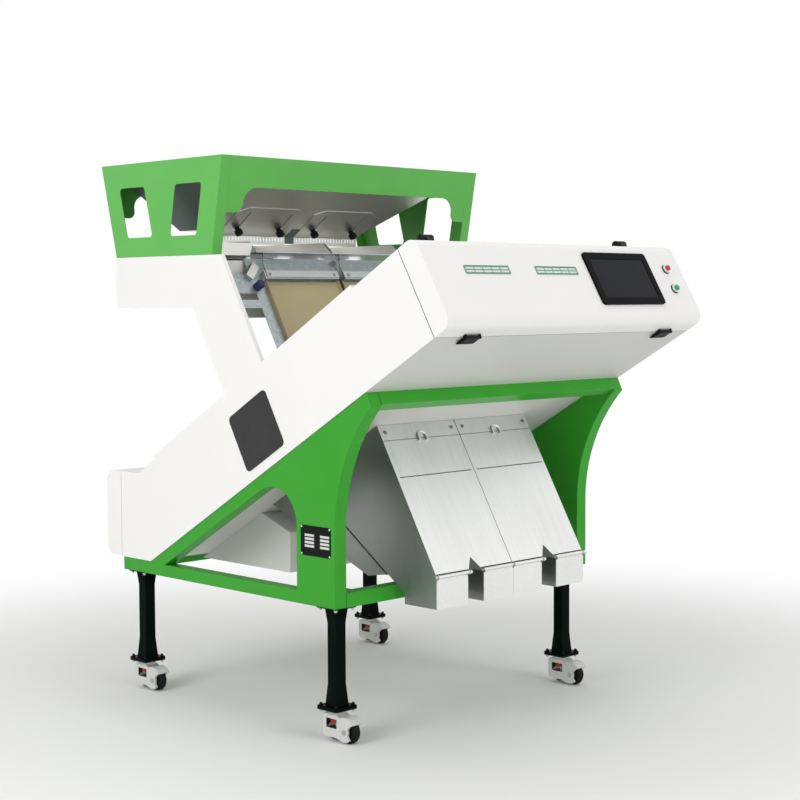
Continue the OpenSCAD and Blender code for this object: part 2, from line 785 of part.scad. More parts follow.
// Green hopper guard

guard_z0 = body_h + fit;
guard_z1 = guard_z0 + hopper_h;
guard_y0 = neck_top[0] + hopper_set;
guard_y1 = head_y;
guard_x = frame_out;
cut_half = guard_x - tab_w;
front_lean = atan(front_flare / hopper_h);
rear_lean = atan(rear_flare / hopper_h);
front_s = norm([front_flare, hopper_h]);
rear_s = norm([rear_flare, hopper_h]);
side_win_z = guard_z0 + 66;
side_win_r = 12;
top_flange = 15;

module on_guard_front() translate([0, guard_y0, guard_z0]) rotate([front_lean, 0, 0]) children();
module on_guard_rear() translate([0, guard_y1, guard_z0]) rotate([-rear_lean, 0, 0]) children();

// Leaning window in a guard side, its lower front corner at y
module side_cut(y, lean) hull() for (a = [0, 1], b = [0, 1])
    translate([y + side_win_r + a * (side_win_w - 2 * side_win_r) + b * (side_win_h - 2 * side_win_r) * tan(lean),
        side_win_z + side_win_r + b * (side_win_h - 2 * side_win_r)]) circle(side_win_r, $fn = 32);

module hopper_sides() color(green) both_sides() {
    along_x(guard_x - skin, guard_x) difference() {
        polygon([[guard_y0, guard_z0], [guard_y1, guard_z0],
            [guard_y1 + rear_flare, guard_z1], [guard_y0 - front_flare, guard_z1]]);
        side_cut(guard_y0 + 78, -front_lean);
        side_cut(guard_y1 - 205, rear_lean);
    }
    on_guard_front() block([guard_x - guard_flange, 0, 0], [guard_x - cut, skin, front_s]);
    on_guard_rear() block([guard_x - guard_flange, -skin, 0], [guard_x - cut, 0, rear_s]);
    block([guard_x - top_flange, guard_y0 - front_flare + skin, guard_z1 - skin],
        [guard_x - cut, guard_y1 + rear_flare - skin, guard_z1]);
}

// Plate with a large cut-out between two end tabs, from height 0 to s
module end_plate(s) {
    x1 = guard_x - guard_flange - fit;
    tab_r = (tab_h - band_h) - cut_r > 4 ? (tab_h - band_h) - cut_r : 4;
    for (m = [0, 1]) mirror([m, 0]) {
        translate([0, s - band_h]) square([x1, band_h]);
        translate([cut_half, s - tab_h + tab_r]) square([x1 - cut_half, tab_h - band_h - tab_r]);
        translate([cut_half + tab_r, s - tab_h]) square([x1 - cut_half - tab_r, tab_r]);
        translate([cut_half + tab_r, s - tab_h + tab_r]) circle(tab_r);
        translate([cut_half - cut_r, s - band_h - cut_r]) difference() {
            square(cut_r);
            circle(cut_r);
        }
    }
}

module hopper_ends() color(green) {
    on_guard_front() along_y(0, skin) end_plate(front_s);
    on_guard_rear() along_y(-skin, 0) end_plate(rear_s);
}

// Feed funnel, gates and knobs

rim_z = guard_z1 - skin - fit - skin;
rim_y0 = guard_y0 - front_flare + 3 * skin;
rim_y1 = guard_y1 + rear_flare - 3 * skin;
rim_x = guard_x - skin - fit;
rim_w = 14;
mouth_y0 = guard_y0 + outlet_set;
mouth_y1 = mouth_y0 + outlet_len;
funnel_z = guard_z0 + outlet_z;
funnel_a = atan((rim_z - funnel_z) / (mouth_y0 - rim_y0 - rim_w));

// Four-sided funnel drawn in by t, its ends stretched past the rim and the outlet by e
module funnel_form(t, e) hull() {
    block([-rim_x + rim_w + t, rim_y0 + rim_w + t, rim_z],
        [rim_x - rim_w - t, rim_y1 - rim_w - t, rim_z + skin + e]);
    block([-outlet_w / 2 + t, mouth_y0 + t, funnel_z - e], [outlet_w / 2 - t, mouth_y1 - t, funnel_z + 0.1]);
}

module feed_funnel() color(steel) difference() {
    union() {
        funnel_form(0, 0);
        block([-rim_x, rim_y0, rim_z], [rim_x, rim_y1, rim_z + skin]);
    }
    funnel_form(skin, cut);
}

// Frame on the underside of the funnel's front wall, Y down the slope
module under_funnel() translate([0, mouth_y0, funnel_z]) rotate([-funnel_a, 0, 0]) children();
function down_funnel(s, d) = [mouth_y0 + s * cos(funnel_a) - d * sin(funnel_a),
    funnel_z - s * sin(funnel_a) - d * cos(funnel_a)];

gate_x0 = 22;
gate_x1 = lane_w - 12;
gate_mid = (gate_x0 + gate_x1) / 2;
gate_corner = [42, 28];
knob_s = -12;
stud_r = 2.8;
slot_w = 7;
slot_len = 86;
comb_pitch = 14;
comb_w = 5;
comb_h = 13;

module gate_plate() color(steel) {
    edge = down_funnel(gate_over, fit);
    difference() {
        along_x(gate_x0, gate_x1)
            polygon(folded([down_funnel(-gate_up, fit), edge, edge - [0, lip_h]], -skin));
        under_funnel() {
            for (x = [gate_mid - knob_gap, gate_mid + knob_gap])
                translate([x, knob_s, -5]) linear_extrude(7)
                    polygon(concat(arc([0, 0], slot_w / 2, 0, 180, 8),
                        arc([0, -slot_len], slot_w / 2, 180, 360, 8)));
            for (m = [0, 1]) translate([gate_mid, -gate_up, -5]) mirror([m, 0, 0]) linear_extrude(7)
                translate([gate_x1 - gate_mid, 0])
                    polygon([[cut, -5], [cut, gate_corner[1] * (1 + cut / gate_corner[0])],
                        [-gate_corner[0] * (1 + 5 / gate_corner[1]), -5]]);
        }
        for (x = [gate_x0 + comb_pitch : comb_pitch : gate_x1 - comb_pitch])
            translate([x, edge[0], edge[1] - 4])
                block([-comb_w / 2, -6, -comb_h], [comb_w / 2, 6, 0]);
    }
}
module gate_left() mirror([1, 0, 0]) gate_plate();
module gate_right() gate_plate();

// Clamping knob: stud through the slot, washer and lobed head
module gate_knob(x) color(black) under_funnel() translate([x, knob_s, 0]) mirror([0, 0, 1]) {
    translate([0, 0, fit]) cylinder(r = stud_r, h = 14);
    translate([0, 0, skin + 2 * fit]) cylinder(r = 9, h = 2);
    translate([0, 0, skin + 2 * fit]) cylinder(r = 7, h = 10);
    translate([0, 0, 12]) linear_extrude(16) difference() {
        circle(knob_r);
        for (a = [0 : 60 : 300]) rotate(a) translate([knob_r + 1.5, 0]) circle(4, $fn = 24);
    }
    translate([0, 0, 28]) cylinder(r1 = knob_r - 4, r2 = knob_r - 6, h = 3);
}
module gate_knob_1() gate_knob(-gate_mid - knob_gap);
module gate_knob_2() gate_knob(-gate_mid + knob_gap);
module gate_knob_3() gate_knob(gate_mid - knob_gap);
module gate_knob_4() gate_knob(gate_mid + knob_gap);

// Feeder trays and their drives

tray_y0 = neck_top[0] + tray_set;
tray_y1 = tray_y0 + tray_len;
tray_floor = body_h + tray_z;
tray_x0 = 4;
tray_x1 = lane_w - 2;
tray_t = 2;
tray_mid = (tray_x0 + tray_x1) / 2;
clamp_w = 120;
clamp_h = 12;
spring_gap = 0.8;
drive_y = (tray_y0 + tray_y1) / 2 + 40;
spring_reach = 85;

module feeder_tray() color(steel) {
    difference() {
        block([tray_x0, tray_y0, tray_floor], [tray_x1, tray_y1, tray_floor + tray_h]);
        block([tray_x0 + tray_t, tray_y0 - cut, tray_floor + tray_t],
            [tray_x1 - tray_t, tray_y1 - tray_t, tray_floor + tray_h + cut]);
        translate([0, tray_y0, tray_floor + tray_h]) along_x(tray_x0 - cut, tray_x1 + cut)
            polygon([[-cut, cut], [40, cut], [0, 8 - tray_h], [-cut, 8 - tray_h]]);
    }
    for (s = [-1, 1]) translate([tray_mid, drive_y + s * spring_reach, tray_floor])
        block([-clamp_w / 2, -12, -clamp_h], [clamp_w / 2, 12, 0.5]);
}
module feeder_tray_left() mirror([1, 0, 0]) feeder_tray();
module feeder_tray_right() feeder_tray();

drive_floor = head_z + skin + fit;

// Drive: base, magnet block and two raked leaf springs
module feeder_drives() color("#5d6669") both_sides() translate([tray_mid, drive_y, 0]) {
    block([-80, -spring_reach - 40, drive_floor], [80, spring_reach + 20, drive_floor + 14]);
    block([-55, -50, drive_floor], [55, 50, drive_floor + 90]);
    translate([0, 0, drive_floor + 60]) rod_x(-62, 62, 22);
    top = tray_floor - clamp_h - spring_gap;
    for (s = [-1, 1]) translate([0, s * spring_reach, 0]) along_x(-50, 50)
        polygon([[-28, drive_floor + 10], [-24, drive_floor + 10], [4, top], [-4, top]]);
    for (s = [-1, 1])
        block([-58, s * spring_reach - 36, drive_floor], [58, s * spring_reach - 16, drive_floor + 34]);
}

// Chutes and the galvanised frame that carries them

chute_t = 2.5;
chute_x0 = 8;
chute_x1 = lane_w - 4;
frame_y = -chute_u + chute_t + fit;
rail_w = 45;
strip_h = 30;
strip_u = chute_u + cover_gap;
strip_t = 2;
strip_x = 14;
strip_w = chute_top + fit;
cheek_x0 = lane_w + rail_w;
cheek_x1 = cover_x - 12;
cheek_cuts = [[chute_top - 42, chute_top - 67], [chute_top - 98, box_t + cover_rise + 6]];
frame_top = chute_top + 94;
apron_x = rim_x - 175;
apron_y = guard_y0 + 2 * skin + 2;
frame_bottom = chute_bottom + 16;

module chutes() color("#a89c74") both_sides() sloped() {
    block([chute_x0, -chute_u, chute_bottom], [chute_x1, -chute_u + chute_t, chute_top]);
    for (x = [chute_x0, chute_x1 - chute_t])
        block([x, -chute_u - chute_lip, chute_bottom], [x + chute_t, -chute_u + chute_t, chute_top]);
}

module chute_frame() color(zinc) {
    chute_plate();
    head_brackets();
}

module chute_plate() sloped() {
    difference() {
        block([-cover_x, frame_y, frame_bottom], [cover_x, frame_y + wall, frame_top]);
        both_sides() {
            for (c = cheek_cuts) block([cheek_x0, frame_y - cut, c[1]], [cheek_x1, frame_y + wall + cut, c[0]]);
            block([cheek_x0, frame_y - cut, chute_top + 30], [cheek_x1, frame_y + wall + cut, frame_top + cut]);
            block([40, frame_y - cut, frame_bottom + 40], [lane_w - 40, frame_y + wall + cut, chute_top - 60]);
        }
    }
    // Guard strip across the top of each chute, with tabs back to the rails
    both_sides() {
        for (x = [strip_x, lane_w + 2])
            block([x, -strip_u - strip_t, strip_w], [x + strip_t, frame_y + cut, strip_w + strip_h]);
        block([strip_x, -strip_u - strip_t, strip_w], [lane_w + 2 + strip_t, -strip_u, strip_w + strip_h]);
        translate([cheek_x0 - 6, frame_y, chute_top + 36]) rotate([0, 45, 0]) {
            block([-34, -16, -14], [34, -13, 14]);
            block([-34, -16, -14], [-31, cut, 14]);
            block([31, -16, -14], [34, cut, 14]);
        }
    }
    // Cross stays behind the chutes
    for (w = [chute_bottom + 60, chute_top - 40])
        block([-lane_w, frame_y + wall - cut, w], [lane_w, frame_y + wall + 24, w + 4]);
}

// Apron brackets beside the feeder trays, on the side panels
module head_brackets() both_sides() {
    along_y(apron_y, apron_y + sheet_t) polygon([
        [rim_x, body_h + fit], [rim_x, body_h + 41], [apron_x, body_h + 41], [apron_x + 14, body_h + fit]
    ]);
    block([apron_x + 14, apron_y, body_h + fit], [rim_x, apron_y + 16, body_h + fit + sheet_t]);
}

// Clear covers bent over the upper end of the chutes
module chute_covers() color("#d5e2e4", 0.5) both_sides() sloped() along_x(chute_x0, lane_w - 2)
    polygon(folded([
        [-strip_u - strip_t - fit, chute_top + 4], [-strip_u - strip_t - fit, chute_top + strip_h + 27],
        [-strip_u - strip_t - 20, chute_top + strip_h + 62]
    ], cover_t));

module chute_buffers() color("#23467e") both_sides() sloped()
    translate([lane_w + rail_w - 10, frame_y - fit, chute_top - 20]) rotate([90, 0, 0]) {
        cylinder(r = 15, h = 26);
        translate([0, 0, 26]) cylinder(r1 = 15, r2 = 11, h = 5);
    }

// Sorting zone inside the box

view_w = pane_w;
optic_x = lane_w - 12;
optic_h = 62;
bar_w = 62;
bar_d = 48;

// Camera housing with a sloping nose, lamp tubes and end brackets, s = 1 in front of the stream
module optic_unit(s) {
    near = s * 150;
    far = s * 400;
    translate([0, -chute_u, view_w]) {
        difference() {
            along_x(-optic_x, optic_x)
                polygon([[-near, -20], [-near, 20], [-s * 220, optic_h], [-far, optic_h],
                    [-far, -optic_h], [-s * 220, -optic_h]]);
            along_x(-optic_x + wall, optic_x - wall)
                polygon([[-near - s * wall, -17], [-near - s * wall, 17], [-s * 222, optic_h - wall],
                    [-far - s * cut, optic_h - wall], [-far - s * cut, wall - optic_h],
                    [-s * 222, wall - optic_h]]);
        }
        for (w = [-52, 52]) translate([0, -s * 128, w]) rod_x(-optic_x, optic_x, 16);
        both_sides() {
            along_x(optic_x - cut, optic_x + 6) {
                translate([-s * 128, -52]) circle(20);
                translate([-s * 128, 52]) circle(20);
                polygon([[-s * 118, -60], [-s * 118, 60], [-far, optic_h + 4], [-far, -optic_h - 4]]);
            }
            for (w = [-optic_h - 4, optic_h])
                block([optic_x, min(-s * 190, -far), w], [cover_x - fit, max(-s * 190, -far), w + 4]);
        }
    }
}
cable_r = 4;
cable_ends = [chute_bottom + 60, chute_top + 72];

// Camera cable down the gap between the chutes, clipped to their frame at both ends
module camera_cable() {
    y = frame_y - fit - 3 * cable_r;
    translate([0, y, cable_ends[0]]) cylinder(r = cable_r, h = cable_ends[1] - cable_ends[0]);
    for (w = cable_ends) translate([0, y, w])
        block([-1.5 * cable_r, -1.5 * cable_r, -8], [1.5 * cable_r, 3 * cable_r, 8]);
}

module optic_units() color("#3d4144") sloped() {
    optic_unit(1);
    optic_unit(-1);
    camera_cable();
}

nozzle_pitch = 20;

// Air manifold with a row of nozzles facing the stream
module ejector_bar() color("#b9bdbf") sloped() translate([0, -chute_u - 26, bar_w]) {
    difference() {
        block([-optic_x, -bar_d, -22], [optic_x, 0, 22]);
        for (x = [-optic_x + nozzle_pitch : nozzle_pitch : optic_x - nozzle_pitch])
            translate([x, cut, 8]) rotate([90, 0, 0]) cylinder(r = 3, h = 12);
    }
    both_sides() block([optic_x - cut, -44, -22], [cover_x - fit, -38, 12]);
}

// Stainless discharge hoppers

face_top = at(hop_u, -fit);
rod_at = at(hop_u, -rod_drop);
mouth_front = rod_at[0];
mouth_back = mouth_front + mouth_d;
floor_z = mouth_z + mouth_rise;
floor_y = (knee_z + knee_y * tan(slope) - fit - floor_z + mouth_back * tan(floor_a))
    / (tan(floor_a) + tan(slope));
floor_top = [floor_y, floor_z + (floor_y - mouth_back) * tan(floor_a)];
rod_c = [mouth_front - 2, rod_at[1]];
ear_r = rod_r + 2.5;
leg_span = (hop_w - notch_w) / 2;
tent_z = rod_at[1] + tent_h;
shoulder_z = rod_at[1] - 4;
sheet_t = 2;
groove = 1.2;
lap = 0.5;
hop_gap = 1.2;
rod_out = 15;
slit_w = 184;
slit_h = 3;
slit_in = 12;
fold_w = 54;
fold_h = 2.5;

// Side view of a hopper with the ear that carries its outlet rod
module hopper_outline() {
    polygon([
        face_top, rod_at, [mouth_front, mouth_z], [mouth_back, mouth_z], [mouth_back, floor_z], floor_top
    ]);
    translate(rod_c) circle(ear_r);
}

// Opening between the two outlets of a hopper, drawn out by t
module notch_outline(t) {
    x0 = leg_span - t;
    x1 = leg_span + notch_w + t;
    polygon([[x0, mouth_z - cut], [x1, mouth_z - cut], [x1, shoulder_z],
        [hop_w / 2, tent_z + t], [x0, shoulder_z]]);
}

hook_r = 17;
hook_bar = 5;
hook_leg = 14;
hook_out = 3;
hook_up = 4;

// Lifting hook bent from round bar
module hook() {
    rotate_extrude(angle = 180) translate([hook_r, 0]) circle(hook_bar, $fn = 24);
    for (x = [-hook_r, hook_r]) translate([x, 0, 0]) rotate([90, 0, 0])
        cylinder(r = hook_bar, h = hook_leg, $fn = 24);
}

module discharge_hopper() {
    x0 = hop_gap;
    x1 = hop_w - hop_gap;
    face = hop_u + lap;
    difference() {
        union() {
            along_x(x0, x1) polygon(folded([at(face, -fit - lap), at(face, -rod_drop + ear_r + 1)], sheet_t));
            along_x(x0, x1) polygon(folded([[mouth_back, mouth_z], [mouth_back, floor_z], floor_top], -sheet_t));
            for (x = [x0, x1 - sheet_t]) along_x(x, x + sheet_t) hopper_outline();
        }
        along_y(mouth_front - mouth_d, floor_y) notch_outline(0);
        sloped() block([slit_in, -face - cut, -slit_w],
            [hop_w - slit_in, -face + sheet_t + cut, -slit_w + slit_h]);
        sloped() block([-cut, -face - cut, -fold_w - fold_h], [hop_w + cut, -face + groove, -fold_w]);
        translate([0, rod_c[0], rod_c[1]]) rod_x(-cut, hop_w + cut, rod_r + run);
    }
    sloped() translate([hop_w / 2, -face - hook_out, hook_up - fold_w]) rotate([90, 0, 0]) hook();
    difference() {
        intersection() {
            along_y(mouth_front - mouth_d, floor_y) difference() {
                notch_outline(sheet_t);
                notch_outline(0);
            }
            along_x(0, hop_w) hopper_outline();
        }
        translate([0, rod_c[0], rod_c[1]]) rod_x(-cut, hop_w + cut, rod_r + run);
    }
}

module discharge_hoppers() color(steel) {
    discharge_hopper();
    translate([-hop_w, 0, 0]) discharge_hopper();
}

flap_t = 2;
flap_notch = 12;

// Outlet flap in front of the outlet, on a rod through both of its walls; its upper corners clear the ears
module outlet_flap(x0, out) color(steel) {
    translate([x0, rod_c[0], rod_c[1]]) {
        rod_x(fit, leg_span + out, rod_r);
        along_y(mouth_front - fit - flap_t - rod_c[0], mouth_front - fit - rod_c[0]) polygon([
            [fit, mouth_z - rod_c[1]], [leg_span - fit, mouth_z - rod_c[1]], [leg_span - fit, -flap_notch],
            [leg_span - flap_notch, 0], [flap_notch, 0], [fit, -flap_notch]
        ]);
    }
}
module outlet_flap_1() outlet_flap(-hop_w, rod_out);
module outlet_flap_2() outlet_flap(-leg_span, -fit);
module outlet_flap_3() outlet_flap(0, rod_out);
module outlet_flap_4() outlet_flap(hop_w - leg_span, rod_out);

reject_y0 = mouth_back + 84;
reject_z0 = floor_z + (reject_y0 - mouth_back) * tan(floor_a) - 10;
reject_y1 = reject_y0 + reject_mouth;
reject_z1 = reject_z0 - 13;

// Point where a line rising at angle a from p meets the underside
function meet_under(p, a) =
    let (y = (knee_z + knee_y * tan(slope) - fit - p[1] + p[0] * tan(a)) / (tan(a) + tan(slope)))
    [y, p[1] + (y - p[0]) * tan(a)];
reject_front = meet_under([reject_y0, reject_z0], floor_a);
reject_rear = meet_under([reject_y1, reject_z1], reject_a);

module reject_hopper() color(steel) difference() {
    x1 = hop_w - 2 * fit;
    union() {
        along_x(-x1, x1) {
            polygon(folded([[reject_y0, reject_z0], reject_front], -sheet_t));
            polygon(folded([[reject_y1, reject_z1], reject_rear], sheet_t));
        }
        for (x = [-x1, x1 - sheet_t]) along_x(x, x + sheet_t)
            polygon([[reject_y0, reject_z0], [reject_y1, reject_z1], reject_rear, reject_front]);
    }
    sloped() block([-half_w, -box_len, -fit], [half_w, 0, box_t]);
}

air_z = knee_z - air_drop;
air_back = knee_y + (knee_z - air_z - fit) / tan(slope);
air_front = air_back - air_len;
air_nose = meet_under([air_front, air_z + air_h], 20);

module air_housing() color("#b4b6b8") difference() {
    along_x(-hop_w + fit, hop_w - fit) polygon([
        [air_back, air_z], [air_front, air_z], [air_front, air_z + air_h], air_nose
    ]);
    along_x(-hop_w + fit + sheet_t, hop_w - fit - sheet_t) polygon([
        [air_back - 3 * sheet_t, air_z + sheet_t], [air_front + sheet_t, air_z + sheet_t],
        [air_front + sheet_t, air_z + air_h - sheet_t / 2], air_nose + [sheet_t * 3, -sheet_t],
        air_nose + [40, 40]
    ]);
}

frame_left();
frame_right();
cross_beams();
legs();
caster_plates();
side_panel_left();
side_panel_right();
side_windows();
box_top_cover();
box_underside();
head_shell();
rear_cover();
front_door();
hinge_bases();
hinge_arms();
latch_left();
latch_right();
screen_bezel();
screen_glass();
status_windows();
button_collars();
stop_button();
start_button();
hopper_sides();
hopper_ends();
feed_funnel();
gate_left();
gate_right();
gate_knob_1();
gate_knob_2();
gate_knob_3();
gate_knob_4();
feeder_tray_left();
feeder_tray_right();
feeder_drives();
chutes();
chute_frame();
chute_covers();
chute_buffers();
optic_units();
ejector_bar();
discharge_hoppers();
reject_hopper();
air_housing();
outlet_flap_1();
outlet_flap_2();
outlet_flap_3();
outlet_flap_4();
caster_body_1();
caster_body_2();
caster_body_3();
caster_body_4();
caster_wheel_1();
caster_wheel_2();
caster_wheel_3();
caster_wheel_4();
caster_foot_1();
caster_foot_2();
caster_foot_3();
caster_foot_4();
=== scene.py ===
import json
import math

import bmesh
import bpy
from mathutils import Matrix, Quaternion, Vector
from mathutils.bvhtree import BVHTree


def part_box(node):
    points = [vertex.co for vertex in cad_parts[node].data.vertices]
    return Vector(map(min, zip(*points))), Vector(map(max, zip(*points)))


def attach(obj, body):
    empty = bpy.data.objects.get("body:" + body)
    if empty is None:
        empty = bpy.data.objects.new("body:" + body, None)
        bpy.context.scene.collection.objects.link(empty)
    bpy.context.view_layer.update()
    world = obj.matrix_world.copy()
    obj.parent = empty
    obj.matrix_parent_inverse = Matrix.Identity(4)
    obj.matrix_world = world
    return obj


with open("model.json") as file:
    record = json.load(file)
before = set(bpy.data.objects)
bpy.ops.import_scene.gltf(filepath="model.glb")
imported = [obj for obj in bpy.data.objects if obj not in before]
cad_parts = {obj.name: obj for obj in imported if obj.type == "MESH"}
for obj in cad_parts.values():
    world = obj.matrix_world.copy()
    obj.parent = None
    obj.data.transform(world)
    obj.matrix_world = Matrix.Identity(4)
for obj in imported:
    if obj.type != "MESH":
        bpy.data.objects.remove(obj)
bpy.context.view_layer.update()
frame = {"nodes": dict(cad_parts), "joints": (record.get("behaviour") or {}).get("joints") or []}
nodes = frame["nodes"]
mm = 0.001
four = range(1, 5)  # casters, flaps and knobs come in fours
print("frame loaded:", len(nodes), "nodes")


def hexColour(code):
    # sRGB hex to the linear values that the shader sockets take
    parts = [int(code[i:i + 2], 16) / 255 for i in (1, 3, 5)]
    linear = [c / 12.92 if c <= 0.04045 else ((c + 0.055) / 1.055) ** 2.4 for c in parts]
    return (*linear, 1.0)


def addNode(tree, kind, props=None, inputs=None):
    # an input that is another node's output is linked, any other is set
    node = tree.nodes.new(kind)
    for key, value in (props or {}).items():
        setattr(node, key, value)
    for key, value in (inputs or {}).items():
        if isinstance(value, bpy.types.NodeSocket):
            tree.links.new(value, node.inputs[key])
        else:
            node.inputs[key].default_value = value
    return node


def addObject(name, data):
    made = bpy.data.objects.new(name, data)
    bpy.context.scene.collection.objects.link(made)
    return made


# The sloping box: u runs up the slope from the knee, w stands square to the underside
slope = math.radians(30)
sheetMm = 2
underLow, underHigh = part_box("box_underside")
boxLength = (underHigh.z - underLow.z - sheetMm * mm * math.cos(slope)) / math.sin(slope)
knee = Vector((0, underLow.y + boxLength * math.cos(slope), underLow.z))
alongSlope = Vector((0, -math.cos(slope), math.sin(slope)))
squareToSlope = Vector((0, math.sin(slope), math.cos(slope)))


def onSlope(x, u, w):
    return knee + Vector((x, 0, 0)) + alongSlope * u + squareToSlope * w


def slopeU(point):
    return (point - knee).dot(alongSlope)


def slopeW(point):
    return (point - knee).dot(squareToSlope)


# Camera at the photograph's angle, measured from the machine's own edges
cameraLook = {
    "place": (-3.8814, -3.9713, 1.3572),  # metres
    "azimuth": -44.593,  # degrees, as are the next two
    "pitch": 3.56,
    "roll": -0.249,
    "lens": 73.59,  # mm, as is the sensor
    "sensor": 36,
    "farthest": 100,  # metres
}


def makeCamera(look):
    azimuth = math.radians(look["azimuth"])
    pitch = math.radians(look["pitch"])
    aim = Vector((-math.sin(azimuth) * math.cos(pitch),
                  math.cos(azimuth) * math.cos(pitch),
                  -math.sin(pitch)))
    data = bpy.data.cameras.new("camera")
    data.lens = look["lens"]
    data.sensor_width = look["sensor"]
    data.clip_end = look["farthest"]
    camera = addObject("camera", data)
    camera.location = look["place"]
    camera.rotation_mode = "QUATERNION"
    roll = Quaternion((0, 0, 1), math.radians(look["roll"]))
    camera.rotation_quaternion = aim.to_track_quat("-Z", "Y") @ roll
    bpy.context.scene.camera = camera


makeCamera(cameraLook)
print("camera placed")

# Sockets of a Mix node by number, as those for colours and for plain numbers share their names
colourShare, colourA, colourB, colourOut = 0, 6, 7, 2
numberShare, numberA, numberB, numberOut = 0, 2, 3, 0


def startMaterial(name):
    material = bpy.data.materials.new(name)
    material.use_nodes = True
    tree = material.node_tree
    tree.nodes.clear()
    place = addNode(tree, "ShaderNodeTexCoord").outputs["Object"]
    return material, tree, place


def finishMaterial(tree, surface):
    shader = addNode(tree, "ShaderNodeBsdfPrincipled", inputs=surface)
    addNode(tree, "ShaderNodeOutputMaterial", inputs={"Surface": shader.outputs[0]})


def perMetre(sizeMm):
    # texture scale that gives features of this size
    return 1 / (sizeMm * mm)


# How far the gloss strays from a coat's own roughness, and the depth of its peel
coatLook = {"smoother": 0.05, "rougher": 0.06, "depthMm": 0.4}


def bakedCoat(name, look):
    # paint or powder baked on metal: satin, faint orange peel, a little uneven in tone
    material, tree, place = startMaterial(name)
    cloud = addNode(tree, "ShaderNodeTexNoise", inputs={
        "Vector": place, "Scale": perMetre(look["cloudMm"]), "Detail": 3.0, "Roughness": 0.55})
    tone = addNode(tree, "ShaderNodeMix", {"data_type": "RGBA"}, {
        colourShare: cloud.outputs[0], colourA: hexColour(look["dark"]), colourB: hexColour(look["light"])})
    # real peel is about 2 mm, mostly drawn coarser so that it shows
    peel = addNode(tree, "ShaderNodeTexNoise", inputs={
        "Vector": place, "Scale": perMetre(look["peelMm"]), "Detail": 1.0})
    bump = addNode(tree, "ShaderNodeBump", inputs={
        "Height": peel.outputs[0], "Strength": look["peelDepth"], "Distance": coatLook["depthMm"] * mm})
    gloss = addNode(tree, "ShaderNodeMapRange", inputs={
        "Value": cloud.outputs[0],
        "To Min": look["roughness"] - coatLook["smoother"],
        "To Max": look["roughness"] + coatLook["rougher"]})
    finishMaterial(tree, {
        "Base Color": tone.outputs[colourOut], "Roughness": gloss.outputs[0], "Normal": bump.outputs[0],
        "Specular IOR Level": look["specular"]})
    return material


coats = {
    # white polyester powder on the cabinet: bright and even
    "whitePowderCoat": {"dark": "#F0EFED", "light": "#F6F5F3", "cloudMm": 420, "peelMm": 6,
                        "peelDepth": 0.06, "roughness": 0.42, "specular": 0.40},
    # light green powder on the hopper guard: pale where it catches the lamps
    "leafGreenCoat": {"dark": "#55AE47", "light": "#66BC58", "cloudMm": 260, "peelMm": 6,
                      "peelDepth": 0.10, "roughness": 0.36, "specular": 0.40},
    # full green powder on the welded frame: deep, with little veil
    "grassGreenCoat": {"dark": "#319924", "light": "#3FA833", "cloudMm": 260, "peelMm": 6,
                       "peelDepth": 0.10, "roughness": 0.32, "specular": 0.18},
    # pale grey powder under the box: duller than the white
    "greyPowderCoat": {"dark": "#D0D0CB", "light": "#D9D9D5", "cloudMm": 300, "peelMm": 6,
                       "peelDepth": 0.08, "roughness": 0.45, "specular": 0.40},
    # black enamel with a green cast on the legs: near black, with a soft sheen
    "blackGreenEnamel": {"dark": "#010805", "light": "#04110C", "cloudMm": 120, "peelMm": 4,
                         "peelDepth": 0.14, "roughness": 0.25, "specular": 0.03},
    # sand-coloured wear coating in the chutes: fine and dull
    "sandWearCoat": {"dark": "#B1A37B", "light": "#C2B48C", "cloudMm": 160, "peelMm": 3,
                     "peelDepth": 0.12, "roughness": 0.48, "specular": 0.35},
    # silver-grey paint on cast metal: slightly rough from the mould
    "silverPaint": {"dark": "#CBCDC9", "light": "#DADCD8", "cloudMm": 40, "peelMm": 2,
                    "peelDepth": 0.12, "roughness": 0.40, "specular": 0.40},
    # hammered enamel on the drives: small dents and a mottled tone
    "hammeredGreyCoat": {"dark": "#4B5456", "light": "#667073", "cloudMm": 14, "peelMm": 5,
                         "peelDepth": 0.35, "roughness": 0.42, "specular": 0.40},
    # matt black paint of the optic units, which takes nearly all light; inside the casters the same black is
    # painted shade
    "blackPaintAndShade": {"dark": "#1E2022", "light": "#2B2E30", "cloudMm": 90, "peelMm": 3,
                      "peelDepth": 0.20, "roughness": 0.60, "specular": 0.25},
    # painted shade: a dark, flat grey on the funnel's side sheets, which lie in shade behind the guard's
    # windows, and on the strip that fills the shaded gap between the gates
    "paintedShadeGrey": {"dark": "#5E6C67", "light": "#6A7872", "cloudMm": 200, "peelMm": 6,
                      "peelDepth": 0.08, "roughness": 0.52, "specular": 0.20},
}

# Share of the clouds in the tone, the part of the streaks' range that changes the gloss, and their depth
brushLook = {"cloudShare": 0.3, "calm": 0.3, "busy": 0.7, "smoother": 0.08, "rougher": 0.10,
             "bump": 0.10, "depthMm": 0.15}


